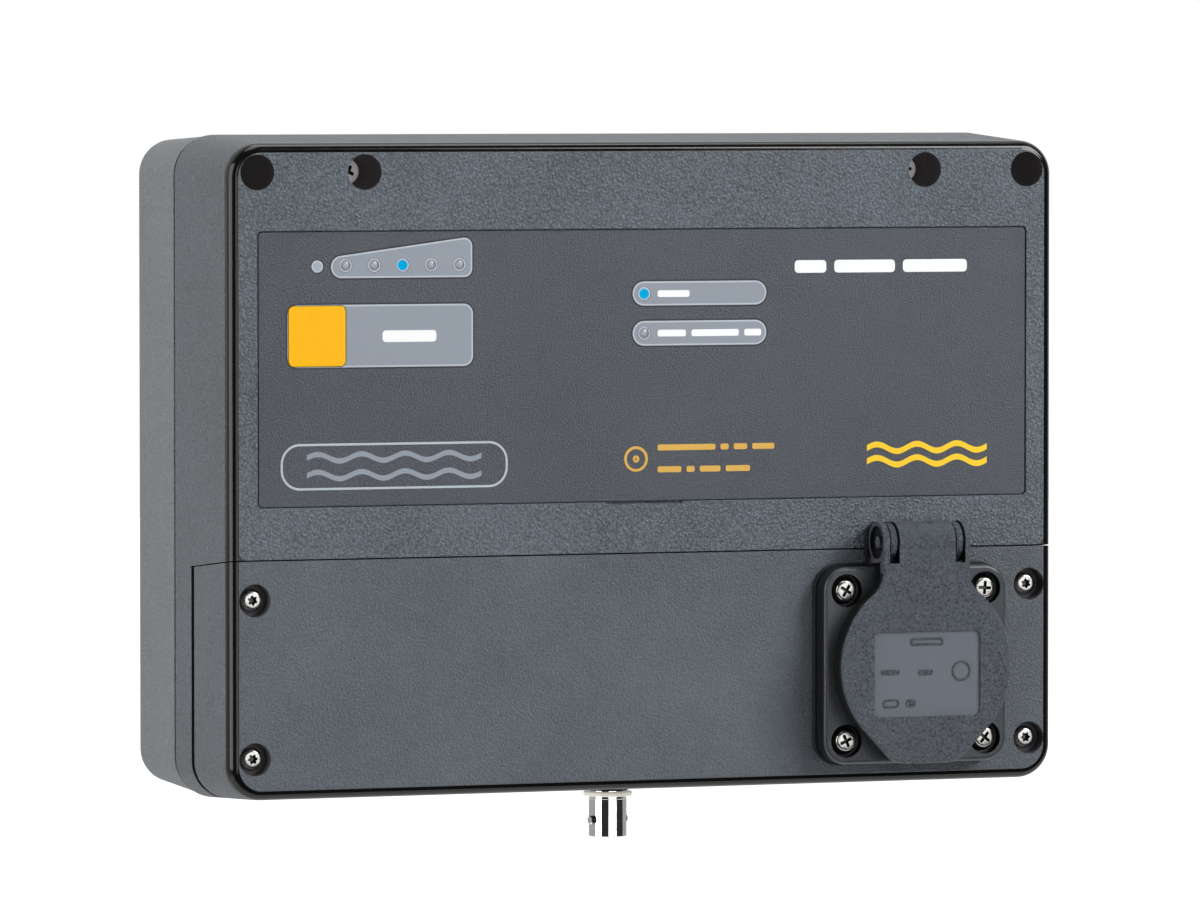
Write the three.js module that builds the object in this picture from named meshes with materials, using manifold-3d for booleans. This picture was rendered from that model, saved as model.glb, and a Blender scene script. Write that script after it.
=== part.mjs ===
// Wall-mounted control unit of a pool salt chlorination system: a two-part housing with a
// terminal cover, a graphic panel with a mode key, a plug socket with a sprung lid and a probe jack.
// Millimetres. X to the right, Y towards the wall, Z up; the origin is the centre of the rear face.

import * as THREE from 'three';
import { mergeVertices } from 'three/addons/utils/BufferGeometryUtils.js';
import Module from 'manifold-3d';

const wasm = await Module();
wasm.setup();

// ---------- driving dimensions ----------

const GAP = 0.3;                 // clearance between neighbouring pieces
const WALL = 3;                  // housing wall
const FRONT = -71;               // plane of the front face
const FACE = { halfX: 108.3, halfZ: 78.9, radius: 6.1 };
const BEZEL = { width: 2.4, depth: 3, steps: 3 };     // rounding round the front face
const PARTING = -33.3;           // plane where the front shell meets the rear tray
const SHELL_DRAFT = 1.8;         // how far each side flares from the bezel to the parting plane
const TRAY_STEP = 0.3;           // the tray stands this far inside the shell
const TRAY_DRAFT = 1.2;          // how far each side closes from the parting plane to the wall
const CORNER_STEPS = 6;          // facets in each housing corner

const SPLIT_Z = -21.8;           // seam between the front shell and the terminal cover
const COVER_REAR = -45.7;        // rear edge of the terminal cover
const COVER_FLOOR = COVER_REAR + GAP;
const PARTITION = 2.4;           // walls on both sides of that seam
const SEAL = { lip: 1.2, width: 1.2, depth: 1.2 };    // gasket in a housing joint
const FAR = 130;                 // past the housing on every side, for tools that cut right through

const WELL_Z = 74;
const WELL_RADIUS = 4.4;
const WALL_WELL_X = 103.35;      // wells for the wall screws
const SHELL_WELL_X = 75.25;      // wells for the shell screws
const WALL_SEAT = -6;            // plane where a wall screw's head rests
const SHELL_SEAT = -56;          // plane where a shell screw's head rests
const LOWER_FIXING = { x: 0, z: -66 };
const WALL_SCREW_HOLE = 2.6;
const SCREW = { shaft: 1.6, hole: 1.9 };
const BOSS = {                   // outer radii of the bosses, and the wall round each well
  wellWall: 2.1, coverScrew: 5.6, coverPost: 5.5, lowerFixing: 5.5, socketScrew: 3.6,
  shellPost: 3.9, board: 3.2,
};

const PANEL = { halfX: 103.3, low: -8.9, high: 59.5, radius: 1, depth: 1.1, sheet: 0.5 };
const PRY_NOTCH = { left: -11.4, right: 9.6, depth: 0.6 };    // under the panel sheet's lower edge
const KEY = { x: -87.75, z: 33.45, halfX: 7.3, halfZ: 7.35, radius: 1.3, travel: 0.5 };
const KEY_FLANGE = { half: 8.6, front: FRONT + WALL + GAP, thick: 1.3 };
const PLUNGER = { radius: 1.75, tip: -63.2, end: -59.6 };
const LENS_RADIUS = 1.45;
const LENS_COLLAR = { radius: 2.4, thick: 0.8 };
const LENSES = {
  level_lens_1: [-80.3, 50.9], level_lens_2: [-72.8, 50.9], level_lens_3: [-65.3, 50.9],
  level_lens_4: [-57.8, 50.9], level_lens_5: [-50.3, 50.9], fault_lens: [-87.7, 50.7],
  auto_lens: [-1.05, 43.2], system_lens: [-1.05, 33.3],
};

const COVER_SCREW_X = 104.15;
const COVER_SCREW_Z = [-31.7, -71];
const COUNTERBORE = { radius: 4.1, depth: 4 };
const SOCKET_COUNTERBORE = { radius: 4.2, depth: 2.4 };

const SOCKET = { x: 70, z: -51, half: 25, radius: 6, screws: 19 };
const SOCKET_BODY = 21.5;        // radius behind the panel
const COLLAR = { radius: 22.6, front: -81 };
const FLANGE = { front: -78, rear: -72.8 };
const RECESS = { radius: 19.75, floor: -63.5 };
const INSERT_REAR = -52.5;
const SOCKET_REAR = -47.5;
const PIN_SPACING = 19;
const CLIP_SLOT = { half: 2.6, inner: 17.4, outer: 21 };      // for the earth clip, in the insert
const LID_LABEL = { halfX: 14.5, low: -12.7, high: 8.9, radius: 1.5, depth: 0.6 };
const LID_FOOT_BEND = { radius: 3, inset: 1.2 };
const SPRING_POCKET = { radius: 4, half: 4.5 };
const LID = { radius: 23.3, front: -85.6, thick: 2.6, neck: 11.9, fillet: 7, foot: 8.5, drop: 24.6 };
const PIVOT = { y: -80.4, z: -19.8, barrel: 5.2, pin: 1.5, hole: 1.8 };
const EAR = { offset: 9, width: 2, slot: 2.7, radius: 3 };

const JACK = {
  x: 1.2, y: -39.5, end: -95.7, barrel: 4.8, thread: 4.7, bore: 4.05, boreFloor: -87.5,
  flange: 5.4, flangeLow: -86.5, flangeHigh: -85.8, threadEnd: -70, lugs: -91.2,
};
const JACK_NUT = { corner: 6.4, height: 2.5, z: -77.8 };

const MAIN_BOARD = { halfX: 96, low: -56, high: 58, front: -14, rear: -12.4 };
const DISPLAY_BOARD = { halfX: 98, low: -4, high: 57, front: -57, rear: -55.4 };
const SCREWED = [[-88, 50], [88, 50]];       // standoffs that take the main board's screws
const PINNED = [[-88, -50], [88, -50]];      // standoffs with a locating pin
const STAKES = [[-94, 2], [94, 2], [-94, 53], [94, 53]];
const STAKE = { post: 2.6, tip: 1.1, hole: 1.5 };
const PARTS_Z0 = MAIN_BOARD.front - GAP;     // underside of what stands on the main board
const GROMMET = { x: -60, y: -17, hole: 6.4, lip: 8, neck: 6 };

// ---------- solids ----------

// A closed mesh as a solid, with shared vertices merged and its faces turned outwards.
function toSolid(geometry) {
  geometry.deleteAttribute('normal');
  geometry.deleteAttribute('uv');
  const merged = mergeVertices(geometry, 1e-4);
  const at = merged.attributes.position;
  const corners = [0, 1, 2].map(() => new THREE.Vector3());
  const triangles = [];
  let volume = 0;
  for (let i = 0; i < merged.index.count; i += 3) {
    const triangle = [0, 1, 2].map((k) => merged.index.getX(i + k));
    if (new Set(triangle).size < 3) continue;
    triangle.forEach((vertex, k) => corners[k].fromBufferAttribute(at, vertex));
    volume += corners[0].dot(corners[1].clone().cross(corners[2]));
    triangles.push(triangle);
  }
  const turned = volume < 0 ? triangles.map(([a, b, c]) => [a, c, b]) : triangles;
  const triVerts = Uint32Array.from(turned.flat());
  const vertProperties = Float32Array.from(at.array);
  return new wasm.Manifold(new wasm.Mesh({ numProp: 3, vertProperties, triVerts }));
}

const join = (first, ...others) => others.reduce((sum, next) => sum.add(next), first);
const cut = (first, ...others) => others.reduce((rest, next) => rest.subtract(next), first);

// A box between two corners.
function block(x0, x1, y0, y1, z0, z1) {
  const box = new THREE.BoxGeometry(x1 - x0, y1 - y0, z1 - z0);
  return toSolid(box.translate((x0 + x1) / 2, (y0 + y1) / 2, (z0 + z1) / 2));
}

// Outline of a rounded rectangle in X and Z, with its own radii at the bottom and the top.
function roundedRect(x0, x1, z0, z1, bottom, top = bottom, steps = 4) {
  const corners = [[x1, z0, -1, 1, bottom, -90], [x1, z1, -1, -1, top, 0],
    [x0, z1, 1, -1, top, 90], [x0, z0, 1, 1, bottom, 180]];
  return corners.flatMap(([x, z, sx, sz, radius, start]) =>
    Array.from({ length: steps + 1 }, (_, i) => {
      const angle = THREE.MathUtils.degToRad(start + (90 * i) / steps);
      return new THREE.Vector2(
        x + sx * radius + radius * Math.cos(angle), z + sz * radius + radius * Math.sin(angle));
    }));
}

// An outline in X and Z made solid from depth y0 to y1, with holes if any are given.
function slab(outline, y0, y1, holes = []) {
  const shape = new THREE.Shape(outline);
  shape.holes = holes.map((hole) => new THREE.Path(hole));
  const geometry = new THREE.ExtrudeGeometry(shape, { depth: y1 - y0, bevelEnabled: false });
  const basis = new THREE.Matrix4().makeBasis(
    new THREE.Vector3(1, 0, 0), new THREE.Vector3(0, 0, 1), new THREE.Vector3(0, -1, 0));
  return toSolid(geometry.applyMatrix4(basis).translate(0, y1, 0));
}

// An outline in Y and Z made solid from x0 to x1.
function profileAlongX(points, x0, x1) {
  const shape = new THREE.Shape(points.map(([y, z]) => new THREE.Vector2(y, z)));
  const geometry = new THREE.ExtrudeGeometry(shape, { depth: x1 - x0, bevelEnabled: false });
  const basis = new THREE.Matrix4().makeBasis(
    new THREE.Vector3(0, 1, 0), new THREE.Vector3(0, 0, 1), new THREE.Vector3(1, 0, 0));
  return toSolid(geometry.applyMatrix4(basis).translate(x0, 0, 0));
}

// A solid through outlines of equal length that lie at different depths.
function loft(sections) {
  const count = sections[0].outline.length;
  const index = [];
  for (let ring = 0; ring + 1 < sections.length; ring++) {
    for (let i = 0; i < count; i++) {
      const a = ring * count + i;
      const b = ring * count + ((i + 1) % count);
      index.push(a, b, a + count, b, b + count, a + count);
    }
  }
  const last = (sections.length - 1) * count;
  for (const [a, b, c] of THREE.ShapeUtils.triangulateShape(sections[0].outline, [])) {
    index.push(a, c, b, last + a, last + b, last + c);
  }
  const geometry = new THREE.BufferGeometry();
  const places = sections.flatMap(({ y, outline }) => outline.flatMap((p) => [p.x, y, p.y]));
  geometry.setAttribute('position', new THREE.Float32BufferAttribute(places, 3));
  geometry.setIndex(index);
  return toSolid(geometry);
}

// A turned piece about an axis through `centre`; the profile is radius and place along that axis.
function turned(profile, axis, centre, segments = 16) {
  const points = profile.map(([radius, along]) => new THREE.Vector2(radius, along));
  const geometry = new THREE.LatheGeometry(points, segments);
  if (axis === 'x') geometry.rotateZ(-Math.PI / 2);
  if (axis === 'z') geometry.rotateX(Math.PI / 2);
  return toSolid(geometry.translate(...centre));
}

const rod = (radius, from, to, axis, centre, segments) =>
  turned([[0, from], [radius, from], [radius, to], [0, to]], axis, centre, segments);

const tube = (inner, outer, from, to, axis, centre, segments) =>
  turned([[inner, from], [outer, from], [outer, to], [inner, to], [inner, from]],
    axis, centre, segments);

// A round piece or hole that runs from depth y0 to y1.
const post = (radius, x, z, y0, y1, segments = 16) => rod(radius, y0, y1, 'y', [x, 0, z], segments);

// A bent strip of even thickness in Y and Z, as wide as x0 to x1.
function strip(points, thickness, x0, x1) {
  const path = points.map(([y, z]) => new THREE.Vector2(y, z));
  const offset = (side) => path.map((point, i) => {
    const before = point.clone().sub(path[Math.max(i - 1, 0)]).normalize();
    const after = path[Math.min(i + 1, path.length - 1)].clone().sub(point).normalize();
    const along = before.add(after).normalize();
    const across = new THREE.Vector2(-along.y, along.x);
    const first = path[1].clone().sub(path[0]).normalize();
    const straight = i === 0 ? first : path[i].clone().sub(path[i - 1]).normalize();
    const mitre = Math.abs(straight.dot(along));
    return point.clone().addScaledVector(across, (side * thickness) / 2 / mitre);
  });
  const outline = [...offset(1), ...offset(-1).reverse()].map((p) => [p.x, p.y]);
  return profileAlongX(outline, x0, x1);
}

// A round wire along a smooth curve.
function wire(points, radius, steps, sides = 8, tension = 0.5) {
  const path = new THREE.CatmullRomCurve3(
    points.map((p) => new THREE.Vector3(...p)), false, 'catmullrom', tension);
  const section = new THREE.Shape(Array.from({ length: sides }, (_, i) => {
    const angle = (2 * Math.PI * i) / sides;
    return new THREE.Vector2(radius * Math.cos(angle), radius * Math.sin(angle));
  }));
  return toSolid(new THREE.ExtrudeGeometry(section, { steps, extrudePath: path, bevelEnabled: false }));
}

// ---------- looks and the assembly ----------

const LOOKS = {
  casing: { color: 0x5a6169, roughness: 0.62, metalness: 0 },
  tray: { color: 0x7d8284, roughness: 0.6, metalness: 0 },
  panel: { color: 0x555a61, roughness: 0.5, metalness: 0 },
  key: { color: 0xfab928, roughness: 0.45, metalness: 0 },
  lens: { color: 0x9aa6b4, roughness: 0.25, metalness: 0 },
  lit: { color: 0x00a5e1, roughness: 0.25, metalness: 0 },
  black: { color: 0x17181a, roughness: 0.5, metalness: 0 },
  lid: { color: 0x2e3236, roughness: 0.5, metalness: 0 },
  rubber: { color: 0x1c1c1c, roughness: 0.85, metalness: 0 },
  cream: { color: 0xe9e4d2, roughness: 0.6, metalness: 0 },
  nickel: { color: 0xd6d6d2, roughness: 0.25, metalness: 1 },
  brass: { color: 0xc9a95c, roughness: 0.35, metalness: 1 },
  board: { color: 0x1f5a35, roughness: 0.5, metalness: 0 },
  steel: { color: 0x8a8d90, roughness: 0.45, metalness: 1 },
  copper: { color: 0xa85f33, roughness: 0.5, metalness: 0.6 },
  brown: { color: 0x5d3a22, roughness: 0.55, metalness: 0 },
  blue: { color: 0x2457a6, roughness: 0.55, metalness: 0 },
  green: { color: 0x4f9a3a, roughness: 0.55, metalness: 0 },
  grey: { color: 0x9a9ea1, roughness: 0.6, metalness: 0 },
};

const assembly = new THREE.Group();

function place(name, solid, look) {
  const { vertProperties, triVerts, numProp } = solid.getMesh();
  const geometry = new THREE.BufferGeometry();
  geometry.setAttribute('position', new THREE.Float32BufferAttribute(vertProperties, numProp));
  geometry.setIndex(Array.from(triVerts));
  geometry.computeVertexNormals();
  const mesh = new THREE.Mesh(geometry, new THREE.MeshStandardMaterial(LOOKS[look]));
  mesh.name = name;
  assembly.add(mesh);
}

// ---------- housing surfaces ----------

// How far the shell's outer surface stands outside the front face's outline at depth y.
const shellGrowth = (y) =>
  BEZEL.width + (SHELL_DRAFT * (y - FRONT - BEZEL.depth)) / (PARTING - FRONT - BEZEL.depth);
const trayGrowth = (y) => BEZEL.width + SHELL_DRAFT - TRAY_STEP - TRAY_DRAFT * (1 - y / PARTING);

const caseOutline = (growth, steps = CORNER_STEPS) => {
  const x = FACE.halfX + growth;
  const z = FACE.halfZ + growth;
  return roundedRect(-x, x, -z, z, FACE.radius + growth, FACE.radius + growth, steps);
};

function shellBlank() {
  const bezel = Array.from({ length: BEZEL.steps + 1 }, (_, i) => {
    const angle = ((Math.PI / 2) * i) / BEZEL.steps;
    const y = FRONT + BEZEL.depth * (1 - Math.cos(angle));
    return { y, outline: caseOutline(BEZEL.width * Math.sin(angle)) };
  });
  const rim = PARTING - GAP;
  return loft([...bezel, { y: rim, outline: caseOutline(shellGrowth(rim)) }]);
}

const shellHollow = () => loft([FRONT + WALL, PARTING + 1].map((y) =>
  ({ y, outline: caseOutline(shellGrowth(y) - WALL) })));

// Outline of the terminal cover's rear rim, moved inwards.
function coverOutline(inset) {
  const growth = shellGrowth(COVER_REAR) - inset;
  const x = FACE.halfX + growth;
  return roundedRect(-x, x, -FACE.halfZ - growth, SPLIT_Z - GAP / 2 - inset,
    FACE.radius + growth, Math.max(1.5 - inset / 2, 0.2));
}

const wells = (radius, x, y0, y1) => [-x, x].map((at) => post(radius, at, WELL_Z, y0, y1, 18));
const coverScrewPlaces = [-COVER_SCREW_X, COVER_SCREW_X].flatMap((x) =>
  COVER_SCREW_Z.map((z) => [x, z]));
const socketScrewPlaces = [-1, 1].flatMap((sx) => [-1, 1].map((sz) =>
  [SOCKET.x + sx * SOCKET.screws, SOCKET.z + sz * SOCKET.screws]));

// ---------- housing ----------

function frontShell() {
  const blank = shellBlank();
  const rim = PARTING - GAP;
  const edge = SPLIT_Z + GAP / 2;
  const coverSpace = block(-FAR, FAR, FRONT - 5, COVER_FLOOR, -FAR, edge);
  const walls = cut(blank, shellHollow(), coverSpace);
  const partition = block(-FAR, FAR, FRONT, COVER_FLOOR, edge, edge + PARTITION);
  const ledge = block(-FAR, FAR, COVER_FLOOR, COVER_FLOOR + PARTITION, edge - 4, edge + PARTITION);
  const inside = [partition, ledge,
    ...wells(WELL_RADIUS + BOSS.wellWall, WALL_WELL_X, FRONT, rim),
    ...wells(WELL_RADIUS + BOSS.wellWall, SHELL_WELL_X, FRONT, SHELL_SEAT + WALL),
    ...coverScrewPlaces.map(([x, z]) => post(BOSS.coverPost, x, z, COVER_FLOOR, rim)),
  ].map((piece) => piece.intersect(blank));
  const stakes = STAKES.flatMap(([x, z]) => [
    post(STAKE.post, x, z, FRONT + WALL - 0.5, DISPLAY_BOARD.front - GAP, 8),
    post(STAKE.tip, x, z, FRONT + WALL - 0.5, DISPLAY_BOARD.rear + 0.6, 8)]);
  const recess = slab(
    roundedRect(-PANEL.halfX, PANEL.halfX, PANEL.low, PANEL.high, PANEL.radius),
    FRONT - 1, FRONT + PANEL.depth);
  const pryNotch = block(PRY_NOTCH.left, PRY_NOTCH.right, FRONT - 1, FRONT + PANEL.depth,
    PANEL.low - PRY_NOTCH.depth, PANEL.low + 1);
  return cut(join(walls, ...inside, ...stakes), recess, pryNotch, keyHole(),
    ...Object.values(LENSES).map(([x, z]) => lensHole(x, z)),
    ...wells(WELL_RADIUS, WALL_WELL_X, FRONT - 1, 0),
    ...wells(WELL_RADIUS, SHELL_WELL_X, FRONT - 1, SHELL_SEAT),
    ...wells(SCREW.hole, SHELL_WELL_X, SHELL_SEAT - 1, SHELL_SEAT + WALL + 1),
    ...coverScrewPlaces.map(([x, z]) => post(SCREW.hole, x, z, COVER_FLOOR - 1, rim - 2, 12)),
    rod(JACK.thread + GAP, -90, -70, 'z', [JACK.x, JACK.y, 0], 16));
}

const lensHole = (x, z) => post(LENS_RADIUS + GAP, x, z, FRONT - 1, FRONT + WALL + 1, 8);
const keyHole = () => slab(
  roundedRect(KEY.x - KEY.halfX - GAP, KEY.x + KEY.halfX + GAP,
    KEY.z - KEY.halfZ - GAP, KEY.z + KEY.halfZ + GAP, KEY.radius + GAP, KEY.radius + GAP, 3),
  FRONT - 1, FRONT + WALL + 1);

function rearTray() {
  const outer = loft([PARTING, 0].map((y) => ({ y, outline: caseOutline(trayGrowth(y)) })));
  const hollow = loft([PARTING - 1, -WALL].map((y) =>
    ({ y, outline: caseOutline(trayGrowth(y) - WALL) })));
  const bosses = [
    ...wells(WELL_RADIUS + BOSS.wellWall, WALL_WELL_X, PARTING, 0),
    post(BOSS.lowerFixing, LOWER_FIXING.x, LOWER_FIXING.z, WALL_SEAT - 1, 0),
  ].map((piece) => piece.intersect(outer));
  const posts = [
    ...wells(BOSS.shellPost, SHELL_WELL_X, SHELL_SEAT + WALL + GAP, -WALL / 2),
    ...[...SCREWED, ...PINNED].map(([x, z]) =>
      post(BOSS.board, x, z, MAIN_BOARD.rear + GAP, -WALL / 2, 12)),
    ...PINNED.map(([x, z]) => post(STAKE.tip, x, z, MAIN_BOARD.front - 1, -WALL / 2, 8)),
  ];
  const rim = trayGrowth(PARTING);
  const channel = slab(caseOutline(rim - SEAL.lip), PARTING - 1, PARTING + SEAL.depth + GAP,
    [caseOutline(rim - WALL - 0.1)]);
  return cut(join(cut(outer, hollow), ...bosses, ...posts), channel,
    ...wells(WELL_RADIUS, WALL_WELL_X, PARTING - 1, WALL_SEAT),
    ...wells(WALL_SCREW_HOLE, WALL_WELL_X, WALL_SEAT - 1, 1),
    post(WALL_SCREW_HOLE, LOWER_FIXING.x, LOWER_FIXING.z, WALL_SEAT - 2, 1),
    ...wells(SCREW.hole, SHELL_WELL_X, SHELL_SEAT, SHELL_SEAT + 18),
    ...SCREWED.map(([x, z]) => post(1.3, x, z, MAIN_BOARD.rear, -5, 8)),
    rod(GROMMET.hole, -90, -70, 'z', [GROMMET.x, GROMMET.y, 0], 14));
}

function terminalCover() {
  const blank = shellBlank();
  const edge = SPLIT_Z - GAP / 2;
  const space = block(-FAR, FAR, FRONT - 5, COVER_REAR, -FAR, edge);
  const topWall = block(-FAR, FAR, FRONT, COVER_REAR, edge - PARTITION, edge);
  const bosses = coverScrewPlaces.map(([x, z]) => post(BOSS.coverScrew, x, z, FRONT, COVER_REAR));
  const socketBosses = socketScrewPlaces.map(([x, z]) =>
    post(BOSS.socketScrew, x, z, FRONT + WALL - 0.5, FRONT + 11, 10));
  const inside = [topWall, ...bosses].map((piece) => piece.intersect(blank).intersect(space));
  const channel = slab(coverOutline(SEAL.lip), COVER_REAR - SEAL.depth - GAP, COVER_REAR + 1,
    [coverOutline(WALL + 0.1)]);
  return cut(join(cut(blank, shellHollow()).intersect(space), ...inside, ...socketBosses), channel,
    ...coverScrewPlaces.flatMap(([x, z]) => [
      post(COUNTERBORE.radius, x, z, FRONT - 1, FRONT + COUNTERBORE.depth),
      post(SCREW.hole, x, z, FRONT, COVER_REAR + 1, 12)]),
    post(SOCKET_BODY + 0.5, SOCKET.x, SOCKET.z, FRONT - 1, FRONT + WALL + 1, 32),
    ...socketScrewPlaces.map(([x, z]) => post(SCREW.hole, x, z, FRONT - 1, FRONT + 10, 12)));
}

place('front_shell', frontShell(), 'casing');
place('rear_tray', rearTray(), 'tray');
place('terminal_cover', terminalCover(), 'casing');

const sealRing = (outline, y0) => slab(outline(SEAL.lip + GAP), y0, y0 + SEAL.depth,
  [outline(SEAL.lip + GAP + SEAL.width)]);
place('shell_gasket',
  sealRing((inset) => caseOutline(trayGrowth(PARTING) - inset, 4), PARTING), 'rubber');
place('cover_gasket', sealRing(coverOutline, COVER_REAR - SEAL.depth), 'rubber');

// ---------- front panel ----------

const SHEET_FRONT = FRONT + PANEL.depth - GAP - PANEL.sheet;
place('overlay', cut(
  slab(roundedRect(-PANEL.halfX + GAP, PANEL.halfX - GAP, PANEL.low + GAP, PANEL.high - GAP,
    PANEL.radius), SHEET_FRONT, SHEET_FRONT + PANEL.sheet),
  keyHole(), ...Object.values(LENSES).map(([x, z]) => lensHole(x, z))), 'panel');

// Light pipe with a domed tip, a collar behind the panel and its foot at the display board.
for (const [name, [x, z]] of Object.entries(LENSES)) {
  const tip = SHEET_FRONT - 0.1;
  const shoulder = FRONT + WALL + GAP;
  const foot = DISPLAY_BOARD.front - 0.4;
  const collar = LENS_COLLAR.radius;
  place(name, turned([[0, tip], [0.8, tip + 0.05], [1.25, tip + 0.15], [LENS_RADIUS, tip + 0.3],
    [LENS_RADIUS, shoulder], [collar, shoulder], [collar, shoulder + LENS_COLLAR.thick],
    [LENS_RADIUS, shoulder + LENS_COLLAR.thick], [LENS_RADIUS, foot], [0, foot]],
  'y', [x, 0, z], 8),
  name === 'level_lens_3' || name === 'auto_lens' ? 'lit' : 'lens');
}

place('mode_button', join(
  slab(roundedRect(KEY.x - KEY.halfX, KEY.x + KEY.halfX, KEY.z - KEY.halfZ, KEY.z + KEY.halfZ,
    KEY.radius), SHEET_FRONT - 0.2, KEY_FLANGE.front + 0.2),
  block(KEY.x - KEY_FLANGE.half, KEY.x + KEY_FLANGE.half, KEY_FLANGE.front,
    KEY_FLANGE.front + KEY_FLANGE.thick, KEY.z - KEY_FLANGE.half, KEY.z + KEY_FLANGE.half),
  post(2, KEY.x, KEY.z, KEY_FLANGE.front + 1, PLUNGER.tip - GAP, 12)), 'key');
place('switch_plunger', post(PLUNGER.radius, KEY.x, KEY.z, PLUNGER.tip, PLUNGER.end, 12), 'black');
place('mode_switch', cut(
  block(KEY.x - 6, KEY.x + 6, -61.3, DISPLAY_BOARD.front - GAP, KEY.z - 6, KEY.z + 6),
  post(PLUNGER.radius + GAP, KEY.x, KEY.z, -62, PLUNGER.end + 0.8, 12)), 'black');

place('display_board', cut(
  block(-DISPLAY_BOARD.halfX, DISPLAY_BOARD.halfX, DISPLAY_BOARD.front, DISPLAY_BOARD.rear,
    DISPLAY_BOARD.low, DISPLAY_BOARD.high),
  ...STAKES.map(([x, z]) => post(STAKE.hole, x, z, -60, -50, 8))), 'board');

// ---------- power and control board ----------

place('main_board', cut(
  block(-MAIN_BOARD.halfX, MAIN_BOARD.halfX, MAIN_BOARD.front, MAIN_BOARD.rear,
    MAIN_BOARD.low, MAIN_BOARD.high),
  ...[...SCREWED, ...PINNED].map(([x, z]) => post(STAKE.hole, x, z, -20, -10, 8))), 'board');
SCREWED.forEach(([x, z], i) => place(`board_screw_${i + 1}`,
  turned([[0, PARTS_Z0 - 1.8], [1.8, PARTS_Z0 - 1.6], [2.6, PARTS_Z0 - 0.8], [2.6, PARTS_Z0],
    [1, PARTS_Z0], [1, -6], [0, -6]], 'y', [x, 0, z], 12), 'steel'));

// Transformer: laminated core with two windows, and the coil wound round its middle limb.
const TRANSFORMER = { x: -50, z: 13, halfX: 22, halfZ: 9, front: -50.3, coilHalfZ: 17 };
const limbHalf = 7;
const windowWidth = 8;
const windowY = [TRANSFORMER.front + 4.3, PARTS_Z0 - 4.7];
place('transformer_core', cut(
  block(TRANSFORMER.x - TRANSFORMER.halfX, TRANSFORMER.x + TRANSFORMER.halfX,
    TRANSFORMER.front, PARTS_Z0, TRANSFORMER.z - TRANSFORMER.halfZ, TRANSFORMER.z + TRANSFORMER.halfZ),
  ...[-1, 1].map((side) => {
    const middle = TRANSFORMER.x + side * (limbHalf + windowWidth / 2);
    return block(middle - windowWidth / 2, middle + windowWidth / 2, ...windowY, -20, 50);
  })), 'steel');
place('transformer_coil', cut(
  block(TRANSFORMER.x - limbHalf - windowWidth + GAP, TRANSFORMER.x + limbHalf + windowWidth - GAP,
    windowY[0] + GAP, windowY[1] - GAP,
    TRANSFORMER.z - TRANSFORMER.coilHalfZ, TRANSFORMER.z + TRANSFORMER.coilHalfZ),
  block(TRANSFORMER.x - limbHalf - GAP, TRANSFORMER.x + limbHalf + GAP, -60, 0,
    TRANSFORMER.z - TRANSFORMER.halfZ - GAP, TRANSFORMER.z + TRANSFORMER.halfZ + GAP)), 'copper');

place('relay', slab(roundedRect(22, 50, 20, 33, 1), -30, PARTS_Z0), 'black');
place('capacitor', turned([[0, -34], [5.6, -34], [6.3, -33], [6.3, -17], [5.9, -16.4],
  [6.3, -15.8], [6.3, PARTS_Z0], [0, PARTS_Z0]], 'y', [10, 0, 10], 12), 'blue');

const FUSE = { x: -8, y: -21.5, z: 36, half: 10, radius: 2.55 };
const clip = (side) => {
  const middle = FUSE.x + side * (FUSE.half - 2.5);
  return block(middle - 1.5, middle + 1.5, FUSE.y - 2, -16, FUSE.z - 4, FUSE.z + 4);
};
place('fuse_holder', cut(join(
  block(FUSE.x - 12, FUSE.x + 12, -17.6, PARTS_Z0, FUSE.z - 5, FUSE.z + 5), clip(-1), clip(1)),
rod(FUSE.radius + GAP, FUSE.x - 11, FUSE.x + 11, 'x', [0, FUSE.y, FUSE.z], 14)), 'black');
place('fuse', turned([[0, FUSE.x - FUSE.half], [FUSE.radius, FUSE.x - FUSE.half],
  [FUSE.radius, FUSE.x - FUSE.half + 5], [2.3, FUSE.x - FUSE.half + 5],
  [2.3, FUSE.x + FUSE.half - 5], [FUSE.radius, FUSE.x + FUSE.half - 5],
  [FUSE.radius, FUSE.x + FUSE.half], [0, FUSE.x + FUSE.half]],
'x', [0, FUSE.y, FUSE.z], 14), 'nickel');

// Terminal block: one wire entry below and one clamp screw hole in front for each way.
const TERMINAL = { left: -34, ways: 6, pitch: 9, low: -54, high: -42, front: -30 };
const wayX = (way) => TERMINAL.left + TERMINAL.pitch * (way + 0.5);
place('terminal_block', cut(
  profileAlongX([[TERMINAL.front, TERMINAL.high], [PARTS_Z0, TERMINAL.high],
    [PARTS_Z0, TERMINAL.low], [-25, TERMINAL.low], [TERMINAL.front, TERMINAL.low + 4]],
  TERMINAL.left, TERMINAL.left + TERMINAL.pitch * TERMINAL.ways),
  ...Array.from({ length: TERMINAL.ways }, (_, way) => wayX(way)).flatMap((x) => [
    block(x - 2.2, x + 2.2, -21.5, -16.5, TERMINAL.low - 1, TERMINAL.low + 5),
    post(2, x, -46, TERMINAL.front - 1, TERMINAL.front + 4, 8)])), 'green');

// ---------- internal wiring ----------

place('ribbon_cable', strip([[PARTS_Z0 - 0.4, 44], [-22, 49], [-34, 51], [-46, 49],
  [DISPLAY_BOARD.rear + 0.7, 44]], 0.9, -5, 15), 'grey');

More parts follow.
